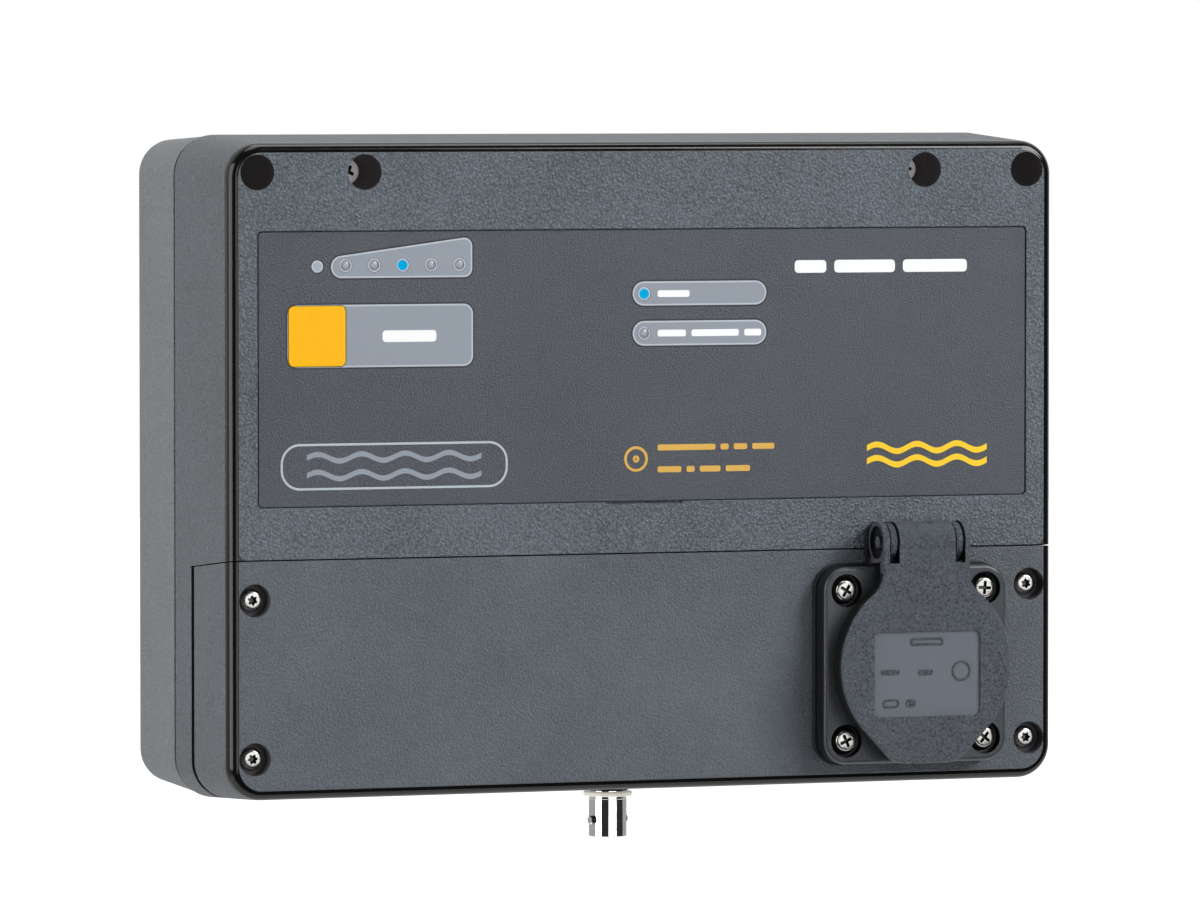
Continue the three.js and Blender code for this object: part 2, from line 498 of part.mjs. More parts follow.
const leadEntry = TERMINAL.low - 0.5;
const sleeveX = [SOCKET.x - PIN_SPACING / 2, SOCKET.x + PIN_SPACING / 2];
place('line_lead', wire([[wayX(5), -19, leadEntry], [wayX(5), -19, -59], [22, -22, -66],
  [40, -32, -66], [55, -40, -60], [sleeveX[0], -43.5, -52.5], [sleeveX[0], -46.5, SOCKET.z],
  [sleeveX[0], INSERT_REAR + 0.6, SOCKET.z]], 1.1, 20, 6), 'brown');
place('neutral_lead', wire([[wayX(4), -19, leadEntry], [wayX(4), -20, -60], [20, -24, -71],
  [50, -28, -70], [72, -31, -66], [sleeveX[1], -38, -56], [sleeveX[1], -45, SOCKET.z],
  [sleeveX[1], INSERT_REAR + 0.6, SOCKET.z]], 1.1, 20, 6), 'blue');
place('earth_lead', wire([[wayX(3), -19, leadEntry], [wayX(3), -20, -64], [20, -26, -75.5],
  [56, -37, -75.5], [67, -41, -66], [SOCKET.x, -43, -55], [SOCKET.x, -45.5, SOCKET.z],
  [SOCKET.x, INSERT_REAR + 2.3, SOCKET.z]], 1.1, 20, 6), 'green');
place('probe_lead', wire([[JACK.x, JACK.y, -64], [JACK.x, JACK.y, -57], [4, -38, -46],
  [12, -31, -36], [16, -22, -31], [16, PARTS_Z0 - 0.3, -30]], 1.4, 18, 6), 'black');

// ---------- plug socket ----------

place('socket_gasket', cut(
  slab(roundedRect(SOCKET.x - SOCKET.half - 0.2, SOCKET.x + SOCKET.half + 0.2,
    SOCKET.z - SOCKET.half - 0.2, SOCKET.z + SOCKET.half + 0.2, SOCKET.radius, SOCKET.radius, 5),
  FLANGE.rear + GAP, FRONT - GAP),
  post(SOCKET_BODY + 1, SOCKET.x, SOCKET.z, -80, -60, 32),
  ...socketScrewPlaces.map(([x, z]) => post(2.2, x, z, -80, -60, 12))), 'rubber');

function socketHousing() {
  const flange = slab(roundedRect(SOCKET.x - SOCKET.half, SOCKET.x + SOCKET.half,
    SOCKET.z - SOCKET.half, SOCKET.z + SOCKET.half, SOCKET.radius, SOCKET.radius, 5),
  FLANGE.front, FLANGE.rear);
  const centred = (radius, y0, y1) => post(radius, SOCKET.x, SOCKET.z, y0, y1, 32);
  const recess = centred(RECESS.radius, COLLAR.front - 1, SOCKET_REAR - 2);
  const ribs = [-1, 1].map((side) => {
    const wall = SOCKET.x + side * (RECESS.radius + 0.5);
    const crest = SOCKET.x + side * (RECESS.radius - 2.2);
    return block(Math.min(wall, crest), Math.max(wall, crest),
      COLLAR.front + 1.5, RECESS.floor - GAP, SOCKET.z - 2.6, SOCKET.z + 2.6);
  });
  const plateFront = PIVOT.y + PIVOT.barrel + 0.7;
  const bracket = block(SOCKET.x - LID.neck, SOCKET.x + LID.neck, plateFront, FLANGE.rear,
    SOCKET.z + SOCKET.half - 0.5, PIVOT.z + PIVOT.barrel - 0.4);
  const ears = [-1, 1].flatMap((side) => {
    const x0 = SOCKET.x + side * EAR.offset - EAR.width / 2;
    return [
      block(x0, x0 + EAR.width, PIVOT.y, plateFront + 0.2,
        PIVOT.z - EAR.radius, PIVOT.z + EAR.radius),
      rod(EAR.radius, x0, x0 + EAR.width, 'x', [0, PIVOT.y, PIVOT.z], 16)];
  });
  const shell = join(flange, centred(COLLAR.radius, COLLAR.front, FLANGE.front + 0.5),
    centred(SOCKET_BODY, FLANGE.rear - 0.5, SOCKET_REAR));
  return cut(join(cut(shell, recess), ...ribs, bracket, ...ears),
    ...socketScrewPlaces.flatMap(([x, z]) => [
      post(SOCKET_COUNTERBORE.radius, x, z, FLANGE.front - 4,
        FLANGE.front + SOCKET_COUNTERBORE.depth),
      post(2.1, x, z, FLANGE.front, FLANGE.rear + 1, 12)]),
    ...[SOCKET.x, ...sleeveX].map((x) => post(2, x, SOCKET.z, SOCKET_REAR - 3, SOCKET_REAR + 1, 12)),
    rod(PIVOT.hole, SOCKET.x - 15, SOCKET.x + 15, 'x', [0, PIVOT.y, PIVOT.z], 16));
}
place('socket_housing', socketHousing(), 'black');

const CLIP_Z = 18.2;
place('contact_insert', cut(
  post(RECESS.radius - 0.4, SOCKET.x, SOCKET.z, RECESS.floor, INSERT_REAR, 24),
  ...sleeveX.map((x) => post(3.15, x, SOCKET.z, RECESS.floor - 1, INSERT_REAR + 1, 12)),
  ...[[-CLIP_SLOT.outer, -CLIP_SLOT.inner], [CLIP_SLOT.inner, CLIP_SLOT.outer]].map(
    ([low, high]) => block(SOCKET.x - CLIP_SLOT.half, SOCKET.x + CLIP_SLOT.half,
      RECESS.floor - 1, INSERT_REAR + 1, SOCKET.z + low, SOCKET.z + high))), 'black');
sleeveX.forEach((x, i) => place(`contact_sleeve_${i + 1}`,
  turned([[0, INSERT_REAR - 0.2], [2.75, INSERT_REAR - 0.2], [2.75, RECESS.floor + 0.7],
    [2.4, RECESS.floor + 0.7], [2.4, INSERT_REAR - 1.2], [0, INSERT_REAR - 1.2]],
  'y', [x, 0, SOCKET.z], 12), 'nickel'));
const clipHalf = [[-79.3, 16.9], [-76, 17.9], [-60, CLIP_Z], [INSERT_REAR + 1.5, CLIP_Z]];
place('earth_clip', strip([
  ...clipHalf.map(([y, z]) => [y, SOCKET.z + z]),
  ...clipHalf.toReversed().map(([y, z]) => [y, SOCKET.z - z])],
0.8, SOCKET.x - 2, SOCKET.x + 2), 'nickel');

// ---------- sprung lid ----------

// Outline of the lid: a neck that flares into a disc, whose foot is cut to a short straight lip.
function lidOutline() {
  const { radius, neck, fillet, foot, drop } = LID;
  const filletZ = Math.sqrt((radius + fillet) ** 2 - (neck + fillet) ** 2);
  const flare = Math.atan2(filletZ, -(neck + fillet));
  const reach = Math.hypot(foot, drop);
  const tangent = Math.atan2(-drop, -foot) - Math.acos(radius / reach) + 2 * Math.PI;
  const arc = (cx, cz, r, from, to, steps) => Array.from({ length: steps + 1 }, (_, i) => {
    const angle = from + ((to - from) * i) / steps;
    return [cx + r * Math.cos(angle), cz + r * Math.sin(angle)];
  });
  const left = [
    [-neck, PIVOT.z - SOCKET.z],
    ...arc(-(neck + fillet), filletZ, fillet, 0, flare - Math.PI, 5),
    ...arc(0, 0, radius, flare, tangent, 12).slice(1),
    ...arc(-foot + LID_FOOT_BEND.inset, -drop + LID_FOOT_BEND.radius, LID_FOOT_BEND.radius,
      Math.PI * 1.22, Math.PI * 1.5, 3),
  ];
  const right = left.toReversed().map(([x, z]) => [-x, z]);
  return [...left, ...right].map(([x, z]) => new THREE.Vector2(SOCKET.x + x, SOCKET.z + z));
}

function socketLid() {
  const rear = LID.front + LID.thick;
  const aboutPivot = (radius, x0, x1, segments) =>
    rod(radius, x0, x1, 'x', [0, PIVOT.y, PIVOT.z], segments);
  const slots = [-1, 1].map((side) => {
    const middle = SOCKET.x + side * EAR.offset;
    return block(middle - EAR.slot / 2, middle + EAR.slot / 2, LID.front - 1, -70,
      PIVOT.z - PIVOT.barrel, PIVOT.z + 10);
  });
  const [pocketLeft, pocketRight] = [SOCKET.x - SPRING_POCKET.half, SOCKET.x + SPRING_POCKET.half];
  const springPocket = join(aboutPivot(SPRING_POCKET.radius, pocketLeft, pocketRight, 16),
    block(pocketLeft, pocketRight, PIVOT.y, PIVOT.y + 10,
      PIVOT.z - SPRING_POCKET.radius, PIVOT.z + SPRING_POCKET.radius));
  const label = slab(roundedRect(SOCKET.x - LID_LABEL.halfX, SOCKET.x + LID_LABEL.halfX,
    SOCKET.z + LID_LABEL.low, SOCKET.z + LID_LABEL.high, LID_LABEL.radius),
  LID.front - 1, LID.front + LID_LABEL.depth);
  return cut(join(slab(lidOutline(), LID.front, rear),
    aboutPivot(PIVOT.barrel, SOCKET.x - LID.neck, SOCKET.x + LID.neck, 24)),
  ...slots, springPocket, label, aboutPivot(PIVOT.hole, SOCKET.x - 20, SOCKET.x + 20, 16));
}
place('socket_lid', socketLid(), 'lid');
place('lid_seal', tube(RECESS.radius + 0.2, COLLAR.radius - 0.6, LID.front + LID.thick + GAP,
  COLLAR.front - GAP, 'y', [SOCKET.x, 0, SOCKET.z], 24), 'rubber');
place('lid_pin', rod(PIVOT.pin, SOCKET.x - LID.neck + 0.3, SOCKET.x + LID.neck - 0.3, 'x',
  [0, PIVOT.y, PIVOT.z], 16), 'nickel');

const SPRING = { turns: 3, radius: 2.6, wire: 0.4, halfLength: 3.4 };
const coilPoints = Array.from({ length: SPRING.turns * 8 + 1 }, (_, i) => {
  const angle = (2 * Math.PI * i) / 8;
  return [SOCKET.x - SPRING.halfLength + (2 * SPRING.halfLength * i) / (SPRING.turns * 8),
    PIVOT.y + SPRING.radius * Math.cos(angle), PIVOT.z + SPRING.radius * Math.sin(angle)];
});
place('lid_spring', wire(coilPoints, SPRING.wire, SPRING.turns * 8, 4), 'steel');

// ---------- screws in the housing ----------

// Pan-head screw along Y: the head's seat, its height and radius, and the shaft's far end.
function screw(x, z, seat, end, head, driver) {
  const blank = turned([[0, seat - head.height], [head.radius * 0.7, seat - head.height * 0.9],
    [head.radius, seat - head.height * 0.45], [head.radius, seat], [SCREW.shaft, seat],
    [SCREW.shaft, end], [0, end]], 'y', [x, 0, z], 12);
  return cut(blank, driver(x, z, seat - head.height));
}
const crossDriver = (x, z, top) => join(
  block(x - 0.45, x + 0.45, top - 1, top + 1.2, z - 1.7, z + 1.7),
  block(x - 1.7, x + 1.7, top - 1, top + 1.2, z - 0.45, z + 0.45));
const starDriver = (x, z, top) => post(1.35, x, z, top - 1, top + 1.2, 6);

const inOrder = ['left_lower', 'left_upper', 'right_lower', 'right_upper'];
const socketSeat = FLANGE.front + SOCKET_COUNTERBORE.depth - GAP;
socketScrewPlaces.forEach(([x, z], i) => place(`socket_screw_${inOrder[i]}`,
  screw(x, z, socketSeat, FRONT + 8.5, { height: 2, radius: 3 }, crossDriver), 'nickel'));
const coverSeat = FRONT + COUNTERBORE.depth - GAP;
coverScrewPlaces.forEach(([x, z], i) => place(
  `cover_screw_${x < 0 ? 'left' : 'right'}_${i % 2 === 0 ? 'upper' : 'lower'}`,
  screw(x, z, coverSeat, PARTING - 4, { height: 2, radius: 2.9 }, starDriver), 'nickel'));
[-SHELL_WELL_X, SHELL_WELL_X].forEach((x) => place(`shell_screw_${x < 0 ? 'left' : 'right'}`,
  screw(x, WELL_Z, SHELL_SEAT - GAP, SHELL_SEAT + 14, { height: 2.2, radius: 3.2 }, crossDriver),
  'nickel'));

// ---------- probe jack and mains entry ----------

const jackAxis = [JACK.x, JACK.y, 0];
const lug = (side) => rod(1, Math.min(side * 3.9, side * 5.5), Math.max(side * 3.9, side * 5.5),
  'x', [JACK.x, JACK.y, JACK.lugs], 8);
const jackBlank = turned([[JACK.bore, JACK.end], [JACK.barrel, JACK.end],
  [JACK.barrel, JACK.flangeLow], [JACK.flange, JACK.flangeLow], [JACK.flange, JACK.flangeHigh],
  [JACK.thread, JACK.flangeHigh], [JACK.thread, JACK.threadEnd], [3.6, JACK.threadEnd],
  [3.6, JACK.boreFloor], [JACK.bore, JACK.boreFloor], [JACK.bore, JACK.end]], 'z', jackAxis, 18);
const jackBore = rod(JACK.bore, JACK.end - 1, JACK.boreFloor, 'z', jackAxis, 18);
place('bnc_body', cut(join(jackBlank, lug(-1), lug(1)), jackBore), 'nickel');
place('bnc_insulator', tube(1.35, 3.3, -93.5, -68, 'z', jackAxis, 12), 'cream');
place('bnc_contact', rod(1.05, -92.8, -64.4, 'z', jackAxis, 10), 'brass');
place('bnc_washer', tube(JACK.thread + GAP, 6.2, -85.5, -84.4, 'z', jackAxis, 18), 'cream');
place('bnc_seal', tube(JACK.thread + GAP, 5.7, -84.1, -83.15, 'z', jackAxis, 14), 'rubber');
// The nut's corners point along X, so that its flats clear the housing joints before and behind it.
const nutGeometry = new THREE.CylinderGeometry(JACK_NUT.corner, JACK_NUT.corner, JACK_NUT.height, 6)
  .rotateY(Math.PI / 2).rotateX(Math.PI / 2).translate(JACK.x, JACK.y, JACK_NUT.z);
place('bnc_nut', cut(toSolid(nutGeometry), rod(JACK.thread + GAP, -82, -74, 'z', jackAxis, 16)),
  'nickel');

// Closed by a thin web; a lip outside and one inside hold it in the tray's lower wall.
place('mains_grommet', turned([[0, -81.6], [4.5, -81.6], [5, -83.9], [GROMMET.lip, -83.9],
  [GROMMET.lip, -82.85], [GROMMET.neck, -82.85], [GROMMET.neck, -78.5], [GROMMET.lip, -78.5],
  [GROMMET.lip, -77.4], [4.6, -77.4], [4.6, -80.6], [0, -80.6]],
'z', [GROMMET.x, GROMMET.y, 0], 14), 'rubber');

export default assembly;
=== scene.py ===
"""Looks of the wall-mounted control unit: a two-part housing with a terminal cover, a graphic panel
with a mode key and light pipes, a plug socket with a sprung lid, and a coaxial probe jack below.
Lengths are in millimetres in the row frame until mesh_object() turns them into metres."""

import math

import bmesh
import bpy
from mathutils import Matrix, Vector


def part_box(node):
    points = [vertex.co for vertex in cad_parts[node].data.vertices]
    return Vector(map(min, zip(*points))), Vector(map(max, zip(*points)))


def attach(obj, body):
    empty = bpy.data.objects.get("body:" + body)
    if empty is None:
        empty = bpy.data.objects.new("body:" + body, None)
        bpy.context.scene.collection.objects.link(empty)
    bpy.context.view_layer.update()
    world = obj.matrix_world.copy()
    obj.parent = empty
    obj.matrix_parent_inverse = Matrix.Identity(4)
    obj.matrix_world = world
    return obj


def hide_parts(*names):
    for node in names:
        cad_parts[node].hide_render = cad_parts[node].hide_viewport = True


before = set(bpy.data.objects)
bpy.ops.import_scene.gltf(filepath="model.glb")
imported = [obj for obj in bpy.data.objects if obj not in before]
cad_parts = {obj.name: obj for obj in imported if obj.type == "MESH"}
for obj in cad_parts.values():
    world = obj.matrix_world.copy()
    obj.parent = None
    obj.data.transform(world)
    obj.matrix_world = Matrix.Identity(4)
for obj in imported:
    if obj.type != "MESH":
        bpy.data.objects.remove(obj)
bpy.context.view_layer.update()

MM = 0.001
GAP = 0.3


def lowest(node):
    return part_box(node)[0] / MM


def highest(node):
    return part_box(node)[1] / MM


def middle(node):
    return [(low + high) / 2 for low, high in zip(lowest(node), highest(node))]


# ---------- dimensions, taken from the frame where it has them ----------

SHELL_LOW, SHELL_HIGH = lowest("front_shell"), highest("front_shell")
FRONT = SHELL_LOW.y
SHELL_RIM = SHELL_HIGH.y
PARTING = SHELL_RIM + GAP
WALL = 3.0
BEZEL = {"width": 2.4, "depth": 3.0}
SHELL_DRAFT = 1.8
TRAY_STEP, TRAY_DRAFT = 0.3, 1.2
FACE_HALF_X = SHELL_HIGH.x - BEZEL["width"] - SHELL_DRAFT
FACE_HALF_Z = SHELL_HIGH.z - BEZEL["width"] - SHELL_DRAFT
FACE_RADIUS = 6.1

COVER_TOP, COVER_REAR = highest("terminal_cover").z, highest("terminal_cover").y
SHELL_EDGE = COVER_TOP + GAP
PARTITION = 2.4
SIDE_GROOVE = 1.6                 # shadow gap down the side of the terminal cover

WELL_Z, WELL_RADIUS = 74.0, 4.4
WALL_WELL_X, SHELL_WELL_X = 103.35, 75.25
SHELL_SEAT = -56.0
WALL_SEAT = -6.0
LOW_FIXING = (0, -66)
BOARD_POSTS = [(x, z) for x in (-88, 88) for z in (-50, 50)]
EJECTOR_MARKS = [(x, z) for x in (-80, 0, 80) for z in (-40, 48)]
GROMMET_X, GROMMET_Y = middle("mains_grommet")[0], -17
COVER_SCREW_X, COVER_SCREW_Z = 104.15, (-31.7, -71.0)
COUNTERBORE_RADIUS, COUNTERBORE_DEPTH = 4.1, 4.0
SCREW_HOLE, BOSS_RADIUS = 1.9, 5.5

PANEL_LOW, PANEL_HIGH = lowest("overlay"), highest("overlay")
SHEET = PANEL_LOW.y
KEY_X, _, KEY_Z = middle("mode_button")
KEY_HALF, KEY_HOLE = 7.45, 7.6
LEVEL_LENSES = [f"level_lens_{i}" for i in range(1, 6)]
LENSES = [*LEVEL_LENSES, "fault_lens", "auto_lens", "system_lens"]
LENS_AT = {name: middle(name)[::2] for name in LENSES}
LENS_RADIUS = 1.45
LIT = ("level_lens_3", "auto_lens")

SOCKET_X, _, SOCKET_Z = middle("socket_gasket")
FLANGE_HALF, FLANGE_RADIUS = 25.0, 6.0
FLANGE_FRONT, FLANGE_REAR = -78.0, -72.8
COLLAR_RADIUS, COLLAR_FRONT = 22.6, highest("lid_seal").y + GAP
SOCKET_BODY, SOCKET_REAR = 21.5, highest("socket_housing").y
RECESS_RADIUS, RECESS_FLOOR = 19.75, lowest("contact_insert").y
INSERT_REAR = highest("contact_insert").y
PIN_X = (SOCKET_X - 9.5, SOCKET_X + 9.5)
SCREW_OFFSET = 19.0
_, PIVOT_Y, PIVOT_Z = middle("lid_pin")
BARREL, EAR_RADIUS = 5.2, 4.8
EAR_X, EAR_THICK, EAR_SLOT = 9.0, 1.6, 2.7     # from the socket's middle; the slot is in the lid
PIN_HOLE = 1.8
LID_FRONT, LID_THICK = lowest("socket_lid").y, 2.6
LID_RADIUS, LID_NECK, LID_FILLET = 23.3, 11.9, 7.0
LID_FOOT, LID_DROP, LID_FOOT_RADIUS = 8.5, 24.6, 6.0

JACK_X = middle("bnc_body")[0]
JACK_Y = middle("bnc_washer")[1]
JACK_END = lowest("bnc_body").z


# ---------- camera ----------

AZIMUTH, ELEVATION = math.radians(-21.0), math.radians(2.47)
CAMERA_DISTANCE = 2.251
CAMERA_TARGET = Vector((-12.97, -71.0, 2.98)) * MM


def add(name, data):
    obj = bpy.data.objects.new(name, data)
    bpy.context.scene.collection.objects.link(obj)
    return obj


def add_camera():
    back = Vector((math.sin(AZIMUTH) * math.cos(ELEVATION),
                   -math.cos(AZIMUTH) * math.cos(ELEVATION), math.sin(ELEVATION)))
    camera = add("camera", bpy.data.cameras.new("camera"))
    camera.data.lens, camera.data.sensor_width = 269.9, 36.0
    camera.location = CAMERA_TARGET + back * CAMERA_DISTANCE
    camera.rotation_euler = (-back).to_track_quat("-Z", "Y").to_euler()
    bpy.context.scene.camera = camera


add_camera()


# ---------- mesh building ----------

def mesh_object(name, points, faces):
    """A closed mesh from points in millimetres, with its faces turned outwards."""
    mesh = bpy.data.meshes.new(name)
    mesh.from_pydata([Vector(point) * MM for point in points], [], faces)
    work = bmesh.new()
    work.from_mesh(mesh)
    bmesh.ops.recalc_face_normals(work, faces=work.faces)
    work.to_mesh(mesh)
    work.free()
    return add(name, mesh)


def arc(x, z, radius, start, end, steps):
    """Points round a centre from one angle to another, in degrees."""
    angles = [math.radians(start + (end - start) * i / steps) for i in range(steps + 1)]
    return [(x + radius * math.cos(a), z + radius * math.sin(a)) for a in angles]


def circle(x, z, radius, steps=48):
    return arc(x, z, radius, 0, 360, steps)[:-1]


def rounded(x0, x1, z0, z1, radius, top=None, steps=8):
    """A rounded rectangle; its upper corners may have a radius of their own."""
    top = radius if top is None else top
    return (arc(x1 - radius, z0 + radius, radius, -90, 0, steps)
            + arc(x1 - top, z1 - top, top, 0, 90, steps)
            + arc(x0 + top, z1 - top, top, 90, 180, steps)
            + arc(x0 + radius, z0 + radius, radius, 180, 270, steps))


def rounded_about(x, z, half_x, half_z, radius, steps=8):
    return rounded(x - half_x, x + half_x, z - half_z, z + half_z, radius, steps=steps)


def without_repeats(outline):
    """The outline with points dropped that lie on the one before."""
    kept = []
    for point in outline:
        if all(math.dist(point, other) > 0.005 for other in kept[-1:] + kept[:1]):
            kept.append(point)
    return kept


def inset(outline, amount):
    """The outline, drawn anticlockwise, moved inwards by amount; it keeps its number of points."""
    moved = []
    for i, here in enumerate(outline):
        before, after = outline[i - 1], outline[(i + 1) % len(outline)]
        along = Vector((after[0] - before[0], after[1] - before[1])).normalized()
        moved.append((here[0] - along.y * amount, here[1] + along.x * amount))
    return moved


def pillow(name, outline, front, rear, rounding):
    """A prism whose front edge follows rounding, a list of (inset, depth) from the edge inwards."""
    outline = without_repeats(outline)
    return loft(name, [(rear, outline)] + [(front + depth, inset(outline, amount))
                                           for amount, depth in rounding])


def rounding(radius, steps=5):
    return [(radius * (1 - math.cos(a)), radius * (1 - math.sin(a)))
            for a in (math.pi / 2 * i / steps for i in range(steps + 1))]


def loft(name, sections):
    """A solid through (depth, outline) sections of equal length."""
    count = len(sections[0][1])
    points = [(x, y, z) for y, outline in sections for x, z in outline]
    faces = [[r * count + i, r * count + (i + 1) % count,
              (r + 1) * count + (i + 1) % count, (r + 1) * count + i]
             for r in range(len(sections) - 1) for i in range(count)]
    faces.append(list(range(count)))
    faces.append(list(range(len(points) - count, len(points))))
    return mesh_object(name, points, faces)


def prism(name, outline, y0, y1):
    outline = without_repeats(outline)
    return loft(name, [(y0, outline), (y1, outline)])


def block(x0, x1, y0, y1, z0, z1):
    return prism("block", [(x0, z0), (x1, z0), (x1, z1), (x0, z1)], y0, y1)


def lathe(name, profile, axis, centre, segments=48):
    """A turned solid. The profile is (radius, place along the axis); a radius may depend on the
    angle, and the profile either starts and ends on the axis or closes on itself."""
    closed = profile[0] == profile[-1]
    rings, points = [], []
    for radius, along in profile[:-1] if closed else profile:
        if radius == 0:
            rings.append([len(points)] * segments)
            points.append(place_round(0, 0, along, axis, centre))
            continue
        rings.append(list(range(len(points), len(points) + segments)))
        for i in range(segments):
            angle = 2 * math.pi * i / segments
            r = radius(angle) if callable(radius) else radius
            points.append(place_round(r * math.cos(angle), r * math.sin(angle), along, axis, centre))
    pairs = list(zip(rings, rings[1:] + rings[:1])) if closed else list(zip(rings, rings[1:]))
    faces = []
    for low, high in pairs:
        for i in range(segments):
            j = (i + 1) % segments
            corners = list(dict.fromkeys([low[i], low[j], high[j], high[i]]))
            if len(corners) > 2:
                faces.append(corners)
    return mesh_object(name, points, faces)


def place_round(across, up, along, axis, centre):
    order = {"x": (along, across, up), "y": (across, along, up), "z": (across, up, along)}[axis]
    return tuple(a + b for a, b in zip(order, centre))


def rod(radius, start, end, axis, centre, segments=48):
    return lathe("rod", [(0, start), (radius, start), (radius, end), (0, end)],
                 axis, centre, segments)


def drill(radius, x, z, y0, y1, segments=48):
    return rod(radius, y0, y1, "y", (x, 0, z), segments)


def drills(radius, places, y0, y1, segments=48):
    return [drill(radius, x, z, y0, y1, segments) for x, z in places]


def merged(objects):
    """One object that holds the meshes of several; the others are removed."""
    work = bmesh.new()
    for obj in objects:
        work.from_mesh(obj.data)
    mesh = bpy.data.meshes.new("merged")
    work.to_mesh(mesh)
    work.free()
    for obj in objects:
        bpy.data.objects.remove(obj)
    return add("merged", mesh)


def boolean(base, tools, operation):
    tool = merged(tools)
    modifier = base.modifiers.new("boolean", "BOOLEAN")
    modifier.object, modifier.operation, modifier.solver = tool, operation, "EXACT"
    modifier.use_self = True
    bpy.context.view_layer.update()
    graph = bpy.context.evaluated_depsgraph_get()
    mesh = bpy.data.meshes.new_from_object(base.evaluated_get(graph))
    base.modifiers.clear()
    base.data = mesh
    bpy.data.objects.remove(tool)
    return base


def fuse(base, *tools):
    return boolean(base, tools, "UNION")


def carve(base, *tools):
    return boolean(base, tools, "DIFFERENCE")


def keep(base, *tools):
    return boolean(base, tools, "INTERSECT")


def shade(obj):
    """Smooth shading that keeps flat faces flat."""
    for polygon in obj.data.polygons:
        polygon.use_smooth = True
    obj.modifiers.new("flat faces", "WEIGHTED_NORMAL").keep_sharp = True
    return obj


def smooth(obj, angle=38):
    """Smooth shading with crisp edges where they are sharper than angle."""
    shade(obj)
    obj.data.set_sharp_from_angle(angle=math.radians(angle))
    return obj


def soften(obj, width=0.25, segments=3, angle=32):
    """Rounds every edge sharper than angle, then smooths the shading."""
    bevel = obj.modifiers.new("edge rounding", "BEVEL")
    bevel.width, bevel.segments = width * MM, segments
    bevel.limit_method, bevel.angle_limit = "ANGLE", math.radians(angle)
    bevel.use_clamp_overlap = True
    return shade(obj)


# ---------- materials ----------

def node(tree, kind, inputs=(), **settings):
    made = tree.nodes.new(kind)
    for key, value in settings.items():
        setattr(made, key, value)
    feed(tree, made, dict(inputs))
    return made


def feed(tree, target, inputs):
    """Gives a node its inputs, each of them a value or another node's output."""
    for key, value in inputs.items():
        if isinstance(value, bpy.types.NodeSocket):
            tree.links.new(value, target.inputs[key])
        else:
            target.inputs[key].default_value = value


def noise(tree, coordinates, scale, detail=2.0, roughness=0.5):
    return node(tree, "ShaderNodeTexNoise", {"Vector": coordinates, "Scale": scale,
                                             "Detail": detail, "Roughness": roughness}).outputs["Fac"]


def spread(tree, value, low, high, start=0.3, end=0.7):
    """Maps a texture's middle range onto low to high."""
    return node(tree, "ShaderNodeMapRange", {"Value": value, "From Min": start, "From Max": end,
                                             "To Min": low, "To Max": high}).outputs["Result"]


def maths(tree, operation, first, second):
    return node(tree, "ShaderNodeMath", {0: first, 1: second}, operation=operation).outputs[0]


def tint(tree, colour, brightness):
    """The colour times a texture's brightness."""
    return node(tree, "ShaderNodeMix", {"Factor": 1.0, "A": (*colour, 1), "B": brightness},
                data_type="RGBA", blend_type="MULTIPLY").outputs["Result"]


def surface(name, colour, roughness, grain=0.6, bump=0.3, variation=0.06, mottle=0.05,
            metallic=0.0, leather=0.0, coat=0.0, specular=0.5, streak=None, glow=None,
            glow_strength=0.5):
    """A procedural finish. colour and glow are screen colours, grain is the size of the texture in
    millimetres, bump its depth as a share of that, variation and mottle the fine and broad changes
    of colour, and leather the share of wrinkled cells in the texture."""
    made = bpy.data.materials.new(name)
    made.use_nodes = True
    tree = made.node_tree
    shader = tree.nodes["Principled BSDF"]
    place = node(tree, "ShaderNodeTexCoord").outputs["Object"]
    if streak:
        place = node(tree, "ShaderNodeMapping", {"Vector": place, "Scale": streak}).outputs["Vector"]
    fine = spread(tree, noise(tree, place, 1000 / grain, 3.0, 0.6), 0, 1)
    broad = noise(tree, place, 28.0, 3.0, 0.55)
    middle = noise(tree, place, 260.0, 2.0, 0.5)
    height = fine
    if leather:
        cells = node(tree, "ShaderNodeTexVoronoi", {"Vector": place, "Scale": 800 / grain,
                                                    "Smoothness": 0.4}, feature="SMOOTH_F1")
        pebble = spread(tree, cells.outputs["Distance"], leather, 0, 0.1, 0.6)
        height = maths(tree, "ADD", maths(tree, "MULTIPLY", fine, 1 - leather), pebble)
    shade = maths(tree, "ADD", spread(tree, height, -variation, variation, 0, 1),
                  spread(tree, broad, 1 - mottle, 1 + mottle))
    shade = maths(tree, "ADD", shade, spread(tree, middle, -mottle / 3, mottle / 3))
    rough = maths(tree, "ADD", spread(tree, fine, -0.04, 0.04, 0, 1),
                  spread(tree, broad, roughness - 0.04, roughness + 0.04))
    bumps = node(tree, "ShaderNodeBump", {"Height": height, "Strength": 1.0,
                                          "Distance": grain * bump * 0.5 * MM})
    feed(tree, shader, {"Base Color": tint(tree, linear(*colour), shade), "Roughness": rough,
                        "Normal": bumps.outputs["Normal"], "Metallic": metallic,
                        "Coat Weight": coat, "Coat Roughness": 0.12,
                        "Specular IOR Level": specular})
    if glow:
        feed(tree, shader, {"Emission Color": (*linear(*glow), 1), "Emission Strength": glow_strength})
    return made


def linear(red, green, blue):
    """A screen colour from 0 to 255 as the linear values that a shader takes."""
    return tuple(((c / 255 + 0.055) / 1.055) ** 2.4 if c > 10 else c / 255 / 12.92
                 for c in (red, green, blue))


WIRE = (0.45, 0.6, 0.05, 0.04, 0.05)
METAL = {"metallic": 1.0}
